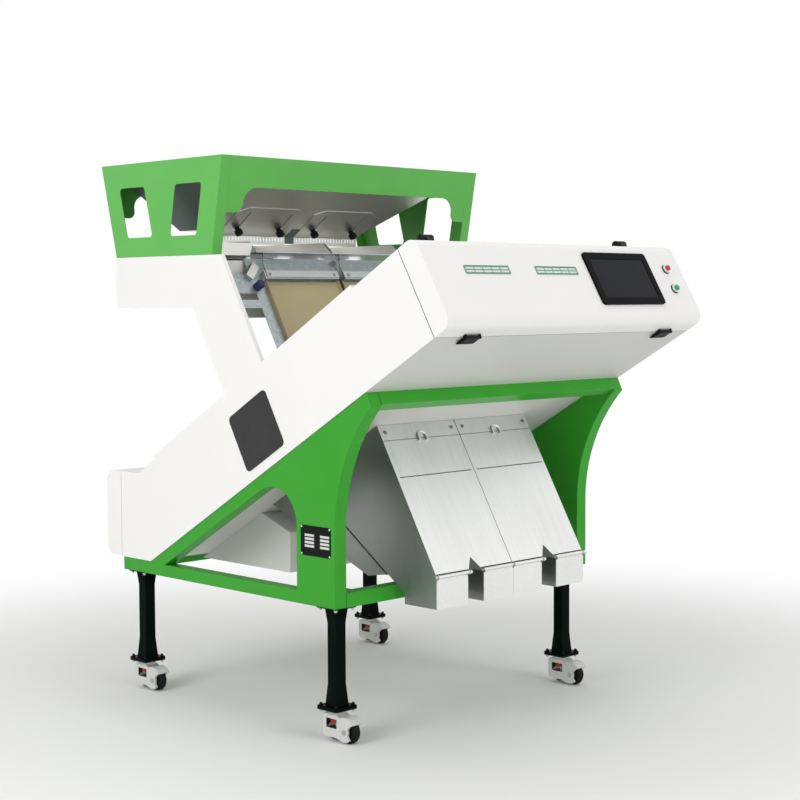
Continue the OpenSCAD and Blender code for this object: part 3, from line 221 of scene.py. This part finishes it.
def brushedMetal(name, look):
    # bare or plated metal: fine streaks along the way it was brushed or drawn, with faint clouds
    material, tree, place = startMaterial(name)
    turned = addNode(tree, "ShaderNodeMapping", {"vector_type": "TEXTURE"}, {
        "Vector": place, "Rotation": look["turn"], "Scale": look["stretch"]})
    # real streaks are about 0.3 mm wide, drawn at 2 to 4 mm so that they show
    streak = addNode(tree, "ShaderNodeTexNoise", inputs={
        "Vector": turned.outputs[0], "Scale": perMetre(look["streakMm"]), "Detail": 4.0, "Roughness": 0.7})
    cloud = addNode(tree, "ShaderNodeTexNoise", inputs={
        "Vector": place, "Scale": perMetre(look["cloudMm"]), "Detail": 2.0})
    blend = addNode(tree, "ShaderNodeMix", inputs={
        numberShare: brushLook["cloudShare"], numberA: streak.outputs[0], numberB: cloud.outputs[0]})
    tone = addNode(tree, "ShaderNodeMix", {"data_type": "RGBA"}, {
        colourShare: blend.outputs[numberOut],
        colourA: hexColour(look["dark"]),
        colourB: hexColour(look["light"])})
    rough = addNode(tree, "ShaderNodeMapRange", inputs={
        "Value": streak.outputs[0], "From Min": brushLook["calm"], "From Max": brushLook["busy"],
        "To Min": look["roughness"] - brushLook["smoother"],
        "To Max": look["roughness"] + brushLook["rougher"]})
    bump = addNode(tree, "ShaderNodeBump", inputs={
        "Height": streak.outputs[0], "Strength": brushLook["bump"], "Distance": brushLook["depthMm"] * mm})
    finishMaterial(tree, {
        "Base Color": tone.outputs[colourOut], "Roughness": rough.outputs[0], "Normal": bump.outputs[0],
        "Metallic": 1.0})
    return material


noTurn = (0, 0, 0)
downSlope = (-slope, 0, 0)  # lays the streaks along the slanting hopper fronts
evenGrain = (1, 1, 1)
longGrain = (1, 1, 60)
crossGrain = (50, 1, 1)
metals = {
    # stainless sheet with a long satin brush down the hopper fronts: bright and a little grey
    "brushedStainless": {"dark": "#CFD0CF", "light": "#FAFAF9", "streakMm": 4, "cloudMm": 300,
                         "turn": downSlope, "stretch": longGrain, "roughness": 0.46},
    # darker, duller stainless than the brushed fronts: the screws' own finish, and painted shade on the
    # hopper side sheets and in their fold groove
    "darkStainlessAndShade": {"dark": "#838483", "light": "#A0A1A0", "streakMm": 3, "cloudMm": 260,
                      "turn": downSlope, "stretch": longGrain, "roughness": 0.42},
    # feed parts brushed across the machine: warm and satin
    "satinStainless": {"dark": "#CBCBC7", "light": "#E6E5DF", "streakMm": 3, "cloudMm": 200,
                       "turn": noTurn, "stretch": crossGrain, "roughness": 0.36},
    # drawn and anodised bar: cool, matt, with lines along it
    "anodisedAluminium": {"dark": "#B2B6B8", "light": "#C9CCCD", "streakMm": 2, "cloudMm": 100,
                          "turn": noTurn, "stretch": crossGrain, "roughness": 0.42},
    # plated bolts and axles: clean silver
    "zincPlatedSteel": {"dark": "#A9ABA8", "light": "#CFD0CC", "streakMm": 2, "cloudMm": 20,
                        "turn": noTurn, "stretch": evenGrain, "roughness": 0.33},
    # chrome that was blasted before plating: bright, with soft reflections
    "satinChrome": {"dark": "#DADBDA", "light": "#F0F0EE", "streakMm": 2, "cloudMm": 30,
                    "turn": noTurn, "stretch": evenGrain, "roughness": 0.28},
    # oil-blackened steel: dark, with brown-grey patches
    "blackenedSteel": {"dark": "#101213", "light": "#2A2D2C", "streakMm": 3, "cloudMm": 40,
                       "turn": noTurn, "stretch": evenGrain, "roughness": 0.42},
}

zincLook = {"dark": "#A2ABAD", "light": "#B8C0C1", "spangleMm": 10, "roughness": 0.46, "spread": 0.08,
            "metallic": 0.85}


def galvanised(name, look):
    # hot-dip zinc: pale blue-grey metal with a spangle of flat crystals, each a little lighter or darker
    material, tree, place = startMaterial(name)
    spangle = addNode(tree, "ShaderNodeTexVoronoi", inputs={
        "Vector": place, "Scale": perMetre(look["spangleMm"]), "Randomness": 1.0})
    chance = addNode(tree, "ShaderNodeSeparateColor", inputs={0: spangle.outputs["Color"]})
    tone = addNode(tree, "ShaderNodeMix", {"data_type": "RGBA"}, {
        colourShare: chance.outputs[0], colourA: hexColour(look["dark"]), colourB: hexColour(look["light"])})
    rough = addNode(tree, "ShaderNodeMapRange", inputs={
        "Value": chance.outputs[1],
        "To Min": look["roughness"] - look["spread"],
        "To Max": look["roughness"] + look["spread"]})
    finishMaterial(tree, {
        "Base Color": tone.outputs[colourOut], "Roughness": rough.outputs[0], "Metallic": look["metallic"]})
    return material


grainDepthMm = 0.2


def mouldedPart(name, look):
    # moulded, cast or printed part: fine grain where the tool left one, and a soft sheen
    material, tree, place = startMaterial(name)
    # real grain is about 0.1 mm, drawn at 2 mm or more so that it shows
    grain = addNode(tree, "ShaderNodeTexNoise", inputs={
        "Vector": place, "Scale": perMetre(look["grainMm"]), "Detail": 2.0})
    tone = addNode(tree, "ShaderNodeMix", {"data_type": "RGBA"}, {
        colourShare: grain.outputs[0], colourA: hexColour(look["dark"]), colourB: hexColour(look["light"])})
    bump = addNode(tree, "ShaderNodeBump", inputs={
        "Height": grain.outputs[0], "Strength": look["grainDepth"], "Distance": grainDepthMm * mm})
    finishMaterial(tree, {
        "Base Color": tone.outputs[colourOut], "Normal": bump.outputs[0],
        "Roughness": look["roughness"], "Specular IOR Level": look["specular"]})
    return material


plastics = {
    # glass-filled nylon of knobs, hinges and latches: black, spark-eroded grain
    "blackNylon": {"dark": "#0E0F10", "light": "#181A1B", "grainMm": 2, "grainDepth": 0.25,
                   "roughness": 0.48, "specular": 0.12},
    # moulded ABS round the display: darker and smoother than the nylon
    "blackAbs": {"dark": "#060607", "light": "#0C0D0D", "grainMm": 2, "grainDepth": 0.1,
                 "roughness": 0.4, "specular": 0.05},
    # coated cover glass over a dark display: smooth, blue-black
    "coatedGlass": {"dark": "#17181B", "light": "#222328", "grainMm": 120, "grainDepth": 0.0,
                    "roughness": 0.09, "specular": 0.08},
    # smoked acrylic sheet: dark grey and glossy
    "smokedAcrylic": {"dark": "#2C2C2D", "light": "#373738", "grainMm": 90, "grainDepth": 0.0,
                      "roughness": 0.14, "specular": 0.2},
    # frosted acrylic of the status cells: pale, faintly green
    "frostedAcrylic": {"dark": "#D2DAD4", "light": "#E4EAE6", "grainMm": 8, "grainDepth": 0.02,
                       "roughness": 0.25, "specular": 0.4},
    # green ink round the status cells: flat
    "greenInk": {"dark": "#4B7F66", "light": "#5E967B", "grainMm": 4, "grainDepth": 0.05,
                 "roughness": 0.4, "specular": 0.4},
    # polished polycarbonate of the button caps: strong colour under a gloss
    "redPolycarbonate": {"dark": "#C21E36", "light": "#D22A42", "grainMm": 3, "grainDepth": 0.03,
                         "roughness": 0.24, "specular": 0.4},
    "greenPolycarbonate": {"dark": "#12935D", "light": "#1BAA6D", "grainMm": 3, "grainDepth": 0.03,
                           "roughness": 0.24, "specular": 0.4},
    # red nylon of the thumb dials: satin
    "redNylon": {"dark": "#A31D22", "light": "#BE2A2E", "grainMm": 2, "grainDepth": 0.15,
                 "roughness": 0.38, "specular": 0.4},
    # black rubber of tyres and foot pads: dull
    "tyreRubber": {"dark": "#0B0B0C", "light": "#161617", "grainMm": 2, "grainDepth": 0.35,
                   "roughness": 0.62, "specular": 0.15},
    # cast urethane of the buffers: deep blue
    "blueUrethane": {"dark": "#16294E", "light": "#20396A", "grainMm": 3, "grainDepth": 0.1,
                     "roughness": 0.42, "specular": 0.35},
    # printed film of the rating plate: black ground and pale fields
    "blackFilm": {"dark": "#07090A", "light": "#0D1011", "grainMm": 2, "grainDepth": 0.08,
                  "roughness": 0.35, "specular": 0.10},
    "paleFilm": {"dark": "#CDD0CC", "light": "#DCDEDA", "grainMm": 3, "grainDepth": 0.05,
                 "roughness": 0.4, "specular": 0.4},
}

coverLook = {"tint": "#EEF4F4", "scuffMm": 60, "smooth": 0.02, "scuffed": 0.16, "ior": 1.58}


def clearSheet(name, look):
    # bent polycarbonate, clear, with faint scuffs that blur it in places
    material, tree, place = startMaterial(name)
    scuff = addNode(tree, "ShaderNodeTexNoise", inputs={
        "Vector": place, "Scale": perMetre(look["scuffMm"]), "Detail": 4.0, "Roughness": 0.65})
    rough = addNode(tree, "ShaderNodeMapRange", inputs={
        "Value": scuff.outputs[0], "To Min": look["smooth"], "To Max": look["scuffed"]})
    finishMaterial(tree, {
        "Base Color": hexColour(look["tint"]), "Roughness": rough.outputs[0],
        "Transmission Weight": 1.0, "IOR": look["ior"]})
    return material


materials = {name: bakedCoat(name, look) for name, look in coats.items()}
materials.update({name: brushedMetal(name, look) for name, look in metals.items()})
materials.update({name: mouldedPart(name, look) for name, look in plastics.items()})
materials["galvanisedSteel"] = galvanised("galvanisedSteel", zincLook)
materials["clearPolycarbonate"] = clearSheet("clearPolycarbonate", coverLook)
print("materials made:", len(materials))

finishes = {
    "whitePowderCoat": ["side_panel_left", "side_panel_right", "box_top_cover", "head_shell", "rear_cover",
                        "front_door"],
    "leafGreenCoat": ["hopper_sides", "hopper_ends"],
    "grassGreenCoat": ["frame_left", "frame_right", "cross_beams"],
    "greyPowderCoat": ["box_underside", "air_housing"],
    "blackGreenEnamel": ["legs"],
    "sandWearCoat": ["chutes"],
    "silverPaint": [f"caster_body_{i}" for i in four],
    "hammeredGreyCoat": ["feeder_drives"],
    "blackPaintAndShade": ["optic_units"],
    "brushedStainless": ["discharge_hoppers", "reject_hopper"] + [f"outlet_flap_{i}" for i in four],
    "satinStainless": ["feed_funnel", "gate_left", "gate_right", "feeder_tray_left", "feeder_tray_right"],
    "anodisedAluminium": ["ejector_bar"],
    "satinChrome": ["button_collars"],
    "blackenedSteel": ["caster_plates"],
    "galvanisedSteel": ["chute_frame"],
    "clearPolycarbonate": ["chute_covers"],
    "blackNylon": ["hinge_bases", "hinge_arms", "latch_left", "latch_right"]
                  + [f"gate_knob_{i}" for i in four],
    "blackAbs": ["screen_bezel"],
    "coatedGlass": ["screen_glass"],
    "smokedAcrylic": ["side_windows"],
    "frostedAcrylic": ["status_windows"],
    "redPolycarbonate": ["stop_button"],
    "greenPolycarbonate": ["start_button"],
    "tyreRubber": [f"caster_wheel_{i}" for i in four],
    "redNylon": [f"caster_foot_{i}" for i in four],
    "blueUrethane": ["chute_buffers"],
}
# Each CAD piece gets the finish listed for it in its first slot
for finish, names in finishes.items():
    for name in names:
        nodes[name].data.materials.clear()
        nodes[name].data.materials.append(materials[finish])


def paintWhere(name, finish, test):
    # gives the faces of one CAD piece that pass the test a second finish
    mesh = nodes[name].data
    mesh.materials.append(materials[finish])
    for face in mesh.polygons:
        if test(face.center, face.normal):
            face.material_index = len(mesh.materials) - 1


def between(value, limits):
    # the value is in metres, its limits are in mm
    return limits[0] * mm < value < limits[1] * mm


# Where a piece has a second finish or painted shade: places in mm, tilts as parts of a face's unit normal
paintLook = {
    "gridDepth": 0.2,
    "sideTilt": 0.7,
    "foldU": (988.2, 989.4),
    "foldW": (-56.6, -53.9),
    "funnelTilt": (0.3, -0.2),
    "earW": -0.5,
    "stripU": 750,
}


def paintBody(look):
    gridFace = max(slopeU(v.co) for v in nodes["status_windows"].data.vertices)
    paintWhere("status_windows", "greenInk", lambda c, n: slopeU(c) > gridFace - look["gridDepth"] * mm)
    # painted shade: darker stainless on the side sheets of the hoppers, and in the groove under the hooks
    # where a front is folded
    for name in ("discharge_hoppers", "reject_hopper"):
        paintWhere(name, "darkStainlessAndShade", lambda c, n: abs(n.x) > look["sideTilt"] or (
            between(slopeU(c), look["foldU"]) and between(slopeW(c), look["foldW"])))
    # painted shade: the funnel's side sheets are dark grey outside, where the guard's windows show them in
    # shade
    across, down = look["funnelTilt"]
    paintWhere("feed_funnel", "paintedShadeGrey", lambda c, n: abs(n.x) > across and n.z < down)
    # the ears that carry the latches hang below the door
    paintWhere("front_door", "blackNylon", lambda c, n: slopeW(c) < look["earW"] * mm)
    # guard strips across the tops of the chutes
    paintWhere("chute_frame", "satinStainless", lambda c, n: slopeU(c) > look["stripU"] * mm)


# Sizes in mm, and heights above the floor for the foot
casterLook = {"skip": 0.05, "reach": 60, "head": 3.9}
footLook = {"padTop": 18.2, "dialFoot": 56}


def paintCaster(name, look):
    # painted shade: faces that look at another face, inside the casting, are black; the axle heads are plated
    mesh = nodes[name].data
    tree = BVHTree.FromPolygons([v.co for v in mesh.vertices], [list(f.vertices) for f in mesh.polygons])
    low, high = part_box(name)
    middle, half = (low.x + high.x) / 2, (high.x - low.x) / 2
    skip, reach = look["skip"] * mm, look["reach"] * mm
    paintWhere(name, "blackPaintAndShade", lambda c, n: tree.ray_cast(c + n * skip, n, reach)[0] is not None)
    paintWhere(name, "zincPlatedSteel", lambda c, n: abs(c.x - middle) > half - look["head"] * mm)


def paintFoot(name, look):
    # rubber pad, plated screw, red dial
    padTop, dialFoot = look["padTop"] * mm, look["dialFoot"] * mm
    paintWhere(name, "tyreRubber", lambda c, n: c.z < padTop)
    paintWhere(name, "zincPlatedSteel", lambda c, n: padTop <= c.z < dialFoot)


paintBody(paintLook)
for i in four:
    paintCaster(f"caster_body_{i}", casterLook)
    paintFoot(f"caster_foot_{i}", footLook)
print("finishes given to", len(nodes), "CAD pieces")

# Widths in mm of the rounded edges
softEdges = {
    "frame_left": 2.5, "frame_right": 2.5, "legs": 2,
    **{f"caster_body_{i}": 3 for i in four},
    "screen_bezel": 1.5, "latch_left": 1, "latch_right": 1, "hinge_bases": 1.5, "hinge_arms": 1.5,
}
edgeLook = {"weldMm": 0.02, "segments": 2, "sharpDegrees": 35}


def softenEdges(name, widthMm, look):
    # folded and ground edges catch the light; the CAD mesh itself stays as it is
    weld = nodes[name].modifiers.new("weld", "WELD")
    weld.merge_threshold = look["weldMm"] * mm
    bevel = nodes[name].modifiers.new("softEdge", "BEVEL")
    bevel.width = widthMm * mm
    bevel.segments = look["segments"]
    bevel.limit_method = "ANGLE"
    bevel.angle_limit = math.radians(look["sharpDegrees"])
    bevel.harden_normals = True


for name, width in softEdges.items():
    softenEdges(name, width, edgeLook)
print("edges softened on", len(softEdges), "pieces")


def addPiece(name, mesh, body):
    piece = addObject(name, mesh)
    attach(piece, body)


def addShape(name, shape, body, *coatings):
    # makes a piece of a bmesh; its first coating names the slot
    mesh = bpy.data.meshes.new(name)
    shape.to_mesh(mesh)
    shape.free()
    for finish in coatings:
        mesh.materials.append(materials[finish])
    addPiece(name, mesh, body)


def fastenerTree(name, parts):
    # cylinders stacked along the aim of each point; parts gives their sides, and their sizes are named inputs
    tree = bpy.data.node_groups.new(name, "GeometryNodeTree")
    tree.interface.new_socket("Geometry", in_out="OUTPUT", socket_type="NodeSocketGeometry")
    tree.interface.new_socket("Geometry", in_out="INPUT", socket_type="NodeSocketGeometry")
    labels = [(f"{part} {size}", "NodeSocketFloat")
              for part in parts for size in ("radius", "height", "foot")]
    ids = {}
    for label, kind in labels + [("Finish", "NodeSocketMaterial")]:
        ids[label] = tree.interface.new_socket(label, in_out="INPUT", socket_type=kind).identifier
    source = addNode(tree, "NodeGroupInput")
    join = addNode(tree, "GeometryNodeJoinGeometry")
    for part, sides in parts.items():
        radius, height, foot = [source.outputs[f"{part} {size}"] for size in ("radius", "height", "foot")]
        body = addNode(tree, "GeometryNodeMeshCylinder", inputs={
            "Vertices": sides, "Radius": radius, "Depth": height})
        # a cylinder is made round its middle, so it is raised by half its height
        middle = addNode(tree, "ShaderNodeMath", {"operation": "MULTIPLY_ADD"}, {0: height, 1: 0.5, 2: foot})
        lift = addNode(tree, "ShaderNodeCombineXYZ", inputs={"Z": middle.outputs[0]})
        raised = addNode(tree, "GeometryNodeTransform", inputs={
            "Geometry": body.outputs[0], "Translation": lift.outputs[0]})
        tree.links.new(raised.outputs[0], join.inputs[0])
    aim = addNode(tree, "GeometryNodeInputNamedAttribute", {"data_type": "FLOAT_VECTOR"}, {"Name": "aim"})
    turn = addNode(tree, "FunctionNodeAlignRotationToVector", {"axis": "Z"}, {"Vector": aim.outputs[0]})
    spread = addNode(tree, "GeometryNodeInstanceOnPoints", inputs={
        "Points": source.outputs["Geometry"], "Instance": join.outputs[0], "Rotation": turn.outputs[0]})
    real = addNode(tree, "GeometryNodeRealizeInstances", inputs={"Geometry": spread.outputs[0]})
    coat = addNode(tree, "GeometryNodeSetMaterial", inputs={
        "Geometry": real.outputs[0], "Material": source.outputs["Finish"]})
    addNode(tree, "NodeGroupOutput", inputs={0: coat.outputs[0]})
    return tree, ids


def placeFasteners(name, body, kind, sizes, finish, spots):
    # spots are (place, aim) pairs; the result is one plain mesh that rides on a body
    tree, ids = kind
    mesh = bpy.data.meshes.new(name + "Spots")
    mesh.from_pydata([spot for spot, aim in spots], [], [])
    aims = mesh.attributes.new("aim", "FLOAT_VECTOR", "POINT")
    for item, (spot, aim) in zip(aims.data, spots):
        item.vector = aim
    carrier = addObject(name + "Spots", mesh)
    modifier = carrier.modifiers.new("fasteners", "NODES")
    modifier.node_group = tree
    for part, (radius, height, foot) in sizes.items():
        for size, value in (("radius", radius), ("height", height), ("foot", foot)):
            modifier[ids[f"{part} {size}"]] = value * mm
    modifier[ids["Finish"]] = materials[finish]
    graph = bpy.context.evaluated_depsgraph_get()
    made = bpy.data.meshes.new_from_object(carrier.evaluated_get(graph))
    bpy.data.objects.remove(carrier)
    addPiece(name, made, body)


hexBolt = fastenerTree("hexBolt", {"washer": 20, "head": 6, "stud": 12})
panHead = fastenerTree("panHead", {"rim": 20, "crown": 20, "socket": 6})

# Sizes in mm; those of a fastener's parts are radius, height and foot
legLook = {
    "inset": 45, "boltGap": 70, "plateMm": 7, "casterPlateMm": 5, "rest": 0.1,
    "bolt": {"washer": (6.8, 1.4, 0), "head": (5.7, 4.2, 1.4), "stud": (3.3, 2.6, 5.6)},
}


def boltSpots(look, z, way):
    # four bolts at the plate corners of each leg, at one height and pointing up or down
    low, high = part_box("legs")
    inset, half = look["inset"] * mm, look["boltGap"] * mm / 2
    return [(Vector((x + dx, y + dy, z)), Vector((0, 0, way)))
            for x in (low.x + inset, high.x - inset) for y in (low.y + inset, high.y - inset)
            for dx, dy in ((-half, -half), (half, -half), (half, half), (-half, half))]


def placeLegBolts(look):
    # plated nuts under the top plates and the caster plates, dark bolt heads on the bottom plates
    low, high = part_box("legs")
    rest, plate = look["rest"] * mm, look["plateMm"] * mm
    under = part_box("caster_plates")[1].z - look["casterPlateMm"] * mm
    for name, finish, z, way in (("frameBolts", "zincPlatedSteel", high.z - plate - rest, -1),
                                 ("casterBolts", "blackenedSteel", low.z + plate + rest, 1),
                                 ("casterNuts", "zincPlatedSteel", under - rest, -1)):
        placeFasteners(name, "machine", hexBolt, look["bolt"], finish, boltSpots(look, z, way))


placeLegBolts(legLook)

# Pan-head screws: x places on faces of constant u and w, the discharge fronts and the chute strips
screwLook = {
    "hopperScrews": {"u": 989.5, "w": -26, "x": [-326, -26, 26, 326]},
    "stripScrews": {"u": 761, "w": 685.3, "x": [-326, -34, 34, 326]},
}
screwSizes = {"rim": (6.5, 1.8, 0.1), "crown": (5.2, 1.4, 1.9), "socket": (2.4, 0.3, 3.3)}
for name, look in screwLook.items():
    spots = [(onSlope(x * mm, look["u"] * mm, look["w"] * mm), alongSlope) for x in look["x"]]
    placeFasteners(name, "machine", panHead, screwSizes, "darkStainlessAndShade", spots)
print("fasteners placed")

# Sizes in mm; columns and rows of the empty fields are shares of the plate's width and height
plateLook = {
    "y": (-341, -204), "z": (573, 666), "thick": 1.2, "rest": 0.1, "radius": 5, "segments": 4, "edge": 5,
    "rows": 4, "columns": [(0.14, 0.45), (0.65, 0.95)], "firstRow": 0.28, "rowStep": 0.12, "rowTall": 0.078,
    "proud": 0.2, "sunk": 0.1,
    "rivet": {"rim": (3.2, 0.5, 0), "crown": (2.2, 0.4, 0.5), "socket": (0.6, 0.1, 0.9)},
}


def boxFaces(low, high, shape):
    # adds a plain box to a bmesh
    made = bmesh.ops.create_cube(shape, size=1)["verts"]
    for vert in made:
        vert.co = Vector([low[i] + (vert.co[i] + 0.5) * (high[i] - low[i]) for i in range(3)])
    return {face for vert in made for face in vert.link_faces}


def makeRatingPlate(look):
    # blank plate on the side frame: dark ground and two columns of pale empty fields
    thick = look["thick"] * mm
    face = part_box("frame_left")[0].x - look["rest"] * mm
    back = face - thick
    (y0, y1), (z0, z1) = [[v * mm for v in look[key]] for key in ("y", "z")]
    wide, tall, edge = y1 - y0, z1 - z0, look["edge"] * mm
    shape = bmesh.new()
    boxFaces((back, y0, z0), (face, y1, z1), shape)
    corners = [side for side in shape.edges if abs(side.verts[0].co.x - side.verts[1].co.x) > thick / 2]
    bmesh.ops.bevel(
        shape, geom=corners, offset=look["radius"] * mm, segments=look["segments"], affect="EDGES")
    for row in range(look["rows"]):
        top = z1 - tall * (look["firstRow"] + row * look["rowStep"])
        for left, right in look["columns"]:
            # the camera sees the plate with Y running to the left
            low = (back - look["proud"] * mm, y1 - wide * right, top - tall * look["rowTall"])
            high = (back + look["sunk"] * mm, y1 - wide * left, top)
            for panel in boxFaces(low, high, shape):
                panel.material_index = 1  # the second coating, paleFilm
    addShape("ratingPlate", shape, "machine", "blackFilm", "paleFilm")
    rivets = [(Vector((back, y, z)), Vector((-1, 0, 0)))
              for y in (y0 + edge, y1 - edge) for z in (z0 + edge, z1 - edge)]
    placeFasteners("plateRivets", "machine", panHead, look["rivet"], "satinChrome", rivets)


makeRatingPlate(plateLook)
print("rating plate made")

# Sizes in mm
darkRingLook = {"wall": 1.2, "gap": 0.1, "tall": 3.5, "rest": 0.1, "sides": 40, "collarReach": 25}


def makeDarkRing(name, button, look):
    # black ring on the door round a button's collar, seen as a dark line
    low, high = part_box(button)
    centre = (low + high) / 2
    x, w = centre.x, slopeW(centre)
    spread = [math.hypot(v.co.x - x, slopeW(v.co) - w) for v in nodes["button_collars"].data.vertices]
    # the button's own collar lies within this reach, the other one beyond it
    inner = max(r for r in spread if r < look["collarReach"] * mm) + look["gap"] * mm
    outer = inner + look["wall"] * mm
    door = max(slopeU(v.co) for v in nodes["front_door"].data.vertices) + look["rest"] * mm
    top = door + look["tall"] * mm
    turns = [2 * math.pi * i / look["sides"] for i in range(look["sides"])]
    shape = bmesh.new()
    loops = [[shape.verts.new(onSlope(x + radius * math.cos(a), u, w + radius * math.sin(a))) for a in turns]
             for radius, u in ((inner, door), (outer, door), (outer, top), (inner, top))]
    for near, far in zip(loops, loops[1:] + loops[:1]):
        for i in range(look["sides"]):
            j = (i + 1) % look["sides"]
            shape.faces.new((near[i], near[j], far[j], far[i]))
    bmesh.ops.recalc_face_normals(shape, faces=shape.faces)
    addShape(name, shape, "door", "blackNylon")


makeDarkRing("stopDarkRing", "stop_button", darkRingLook)
makeDarkRing("startDarkRing", "start_button", darkRingLook)
print("button gaskets made")

# Sizes in mm: the lap lies on the funnel, the drop runs on to the bend, and the tall end hangs from there
gapShadeLook = {"half": 21, "lap": 14, "drop": 33, "tall": 25, "thick": 1.2, "rest": 0.3, "edgeBand": 2}


def makeGateGapShade(look):
    # bent strip on the funnel's front edge, which closes the gap between the two gates; its dark grey is
    # painted shade for the shadow in that gap
    down = Vector(next(joint["axis"] for joint in frame["joints"] if joint["name"] == "gate_left_slide"))
    out = Vector((0, down.z, -down.y))
    front = Vector((0, -1, 0))
    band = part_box("feed_funnel")[0].z + look["edgeBand"] * mm
    edge = min((v.co for v in nodes["feed_funnel"].data.vertices if v.co.z < band), key=lambda c: c.y)
    thick = look["thick"] * mm
    start = Vector((0, edge.y, edge.z)) + out * look["rest"] * mm - down * look["lap"] * mm
    bend = start + down * (look["lap"] + look["drop"]) * mm
    tip = bend - Vector((0, 0, look["tall"] * mm))
    # the outer bend lies where both outer faces meet
    outerBend = bend + out * thick + down * thick * (front.y - out.y) / down.y
    outline = [start, bend, tip, tip + front * thick, outerBend, start + out * thick]
    shape = bmesh.new()
    sides = [[shape.verts.new(point + Vector((x * mm, 0, 0))) for point in outline]
             for x in (-look["half"], look["half"])]
    for i in range(len(outline)):
        j = (i + 1) % len(outline)
        shape.faces.new((sides[0][i], sides[0][j], sides[1][j], sides[1][i]))
    for side in sides:
        shape.faces.new(side)
    bmesh.ops.recalc_face_normals(shape, faces=shape.faces)
    # the strip is a dark sheet of painted shade
    addShape("gateGapShade", shape, "machine", "paintedShadeGrey")


makeGateGapShade(gapShadeLook)
print("gate tongue made")


def whiteRays(tree):
    # 1 for the rays that see the white background: from the camera, off shiny faces, through clear sheet
    path = addNode(tree, "ShaderNodeLightPath")
    seen = addNode(tree, "ShaderNodeMath", {"operation": "ADD"}, {
        0: path.outputs["Is Camera Ray"], 1: path.outputs["Is Glossy Ray"]})
    shown = addNode(tree, "ShaderNodeMath", {"operation": "ADD", "use_clamp": True}, {
        0: seen.outputs[0], 1: path.outputs["Is Transmission Ray"]})
    return shown.outputs[0]


# Metres: half the floor's width, and the distances at which it starts to turn white and is white
floorLook = {"reach": 30, "pale": 1.2, "white": 3.2, "colour": "#F4F4F3"}
# Places and sizes of the lamps in metres
studio = {"ambient": 0.50, "target": (0, 0, 0.9), "lamps": {
    "key": {"place": (-6.5, -0.4, 3.3), "size": 4.0, "watts": 178},
    "front": {"place": (0.3, -6.5, 3.2), "size": 4.5, "watts": 122},
    "top": {"place": (0.5, 0.5, 6.0), "size": 5.0, "watts": 70},
}}


def makeFloor(look):
    # pale studio floor that turns white away from the machine, with the machine's shadow on it
    mesh = bpy.data.meshes.new("studioFloor")
    reach = look["reach"]
    corners = [(-reach, -reach, 0), (reach, -reach, 0), (reach, reach, 0), (-reach, reach, 0)]
    mesh.from_pydata(corners, [], [(0, 1, 2, 3)])
    floor = addObject("studioFloor", mesh)
    material, tree, place = startMaterial("studioFloor")
    far = addNode(tree, "ShaderNodeVectorMath", {"operation": "LENGTH"}, {0: place})
    fade = addNode(tree, "ShaderNodeMapRange", {"interpolation_type": "SMOOTHSTEP"}, {
        "Value": far.outputs["Value"], "From Min": look["pale"], "From Max": look["white"]})
    share = addNode(tree, "ShaderNodeMath", {"operation": "MULTIPLY"}, {
        0: fade.outputs[0], 1: whiteRays(tree)})
    pale = addNode(tree, "ShaderNodeBsdfDiffuse", inputs={"Color": hexColour(look["colour"])})
    white = addNode(tree, "ShaderNodeEmission", inputs={"Color": hexColour("#FFFFFF"), "Strength": 1.0})
    mix = addNode(tree, "ShaderNodeMixShader", inputs={
        0: share.outputs[0], 1: pale.outputs[0], 2: white.outputs[0]})
    addNode(tree, "ShaderNodeOutputMaterial", inputs={"Surface": mix.outputs[0]})
    mesh.materials.append(material)


def makeStudio(look):
    # even white surroundings, and three soft lamps aimed at the middle of the machine
    world = bpy.data.worlds.new("studio")
    world.use_nodes = True
    tree = world.node_tree
    tree.nodes.clear()
    light = addNode(tree, "ShaderNodeBackground", inputs={
        "Color": hexColour("#FFFFFF"), "Strength": look["ambient"]})
    white = addNode(tree, "ShaderNodeBackground", inputs={"Color": hexColour("#FFFFFF"), "Strength": 1.0})
    mix = addNode(tree, "ShaderNodeMixShader", inputs={
        0: whiteRays(tree), 1: light.outputs[0], 2: white.outputs[0]})
    addNode(tree, "ShaderNodeOutputWorld", inputs={"Surface": mix.outputs[0]})
    bpy.context.scene.world = world
    for name, lamp in look["lamps"].items():
        data = bpy.data.lights.new(name, "AREA")
        data.shape = "DISK"
        data.size = lamp["size"]
        data.energy = lamp["watts"]
        lampObject = addObject(name, data)
        lampObject.location = lamp["place"]
        lampObject.rotation_mode = "QUATERNION"
        aim = Vector(look["target"]) - Vector(lamp["place"])
        lampObject.rotation_quaternion = aim.to_track_quat("-Z", "Y")


makeFloor(floorLook)
makeStudio(studio)
bpy.context.scene.view_settings.view_transform = "Standard"
print("studio lit")
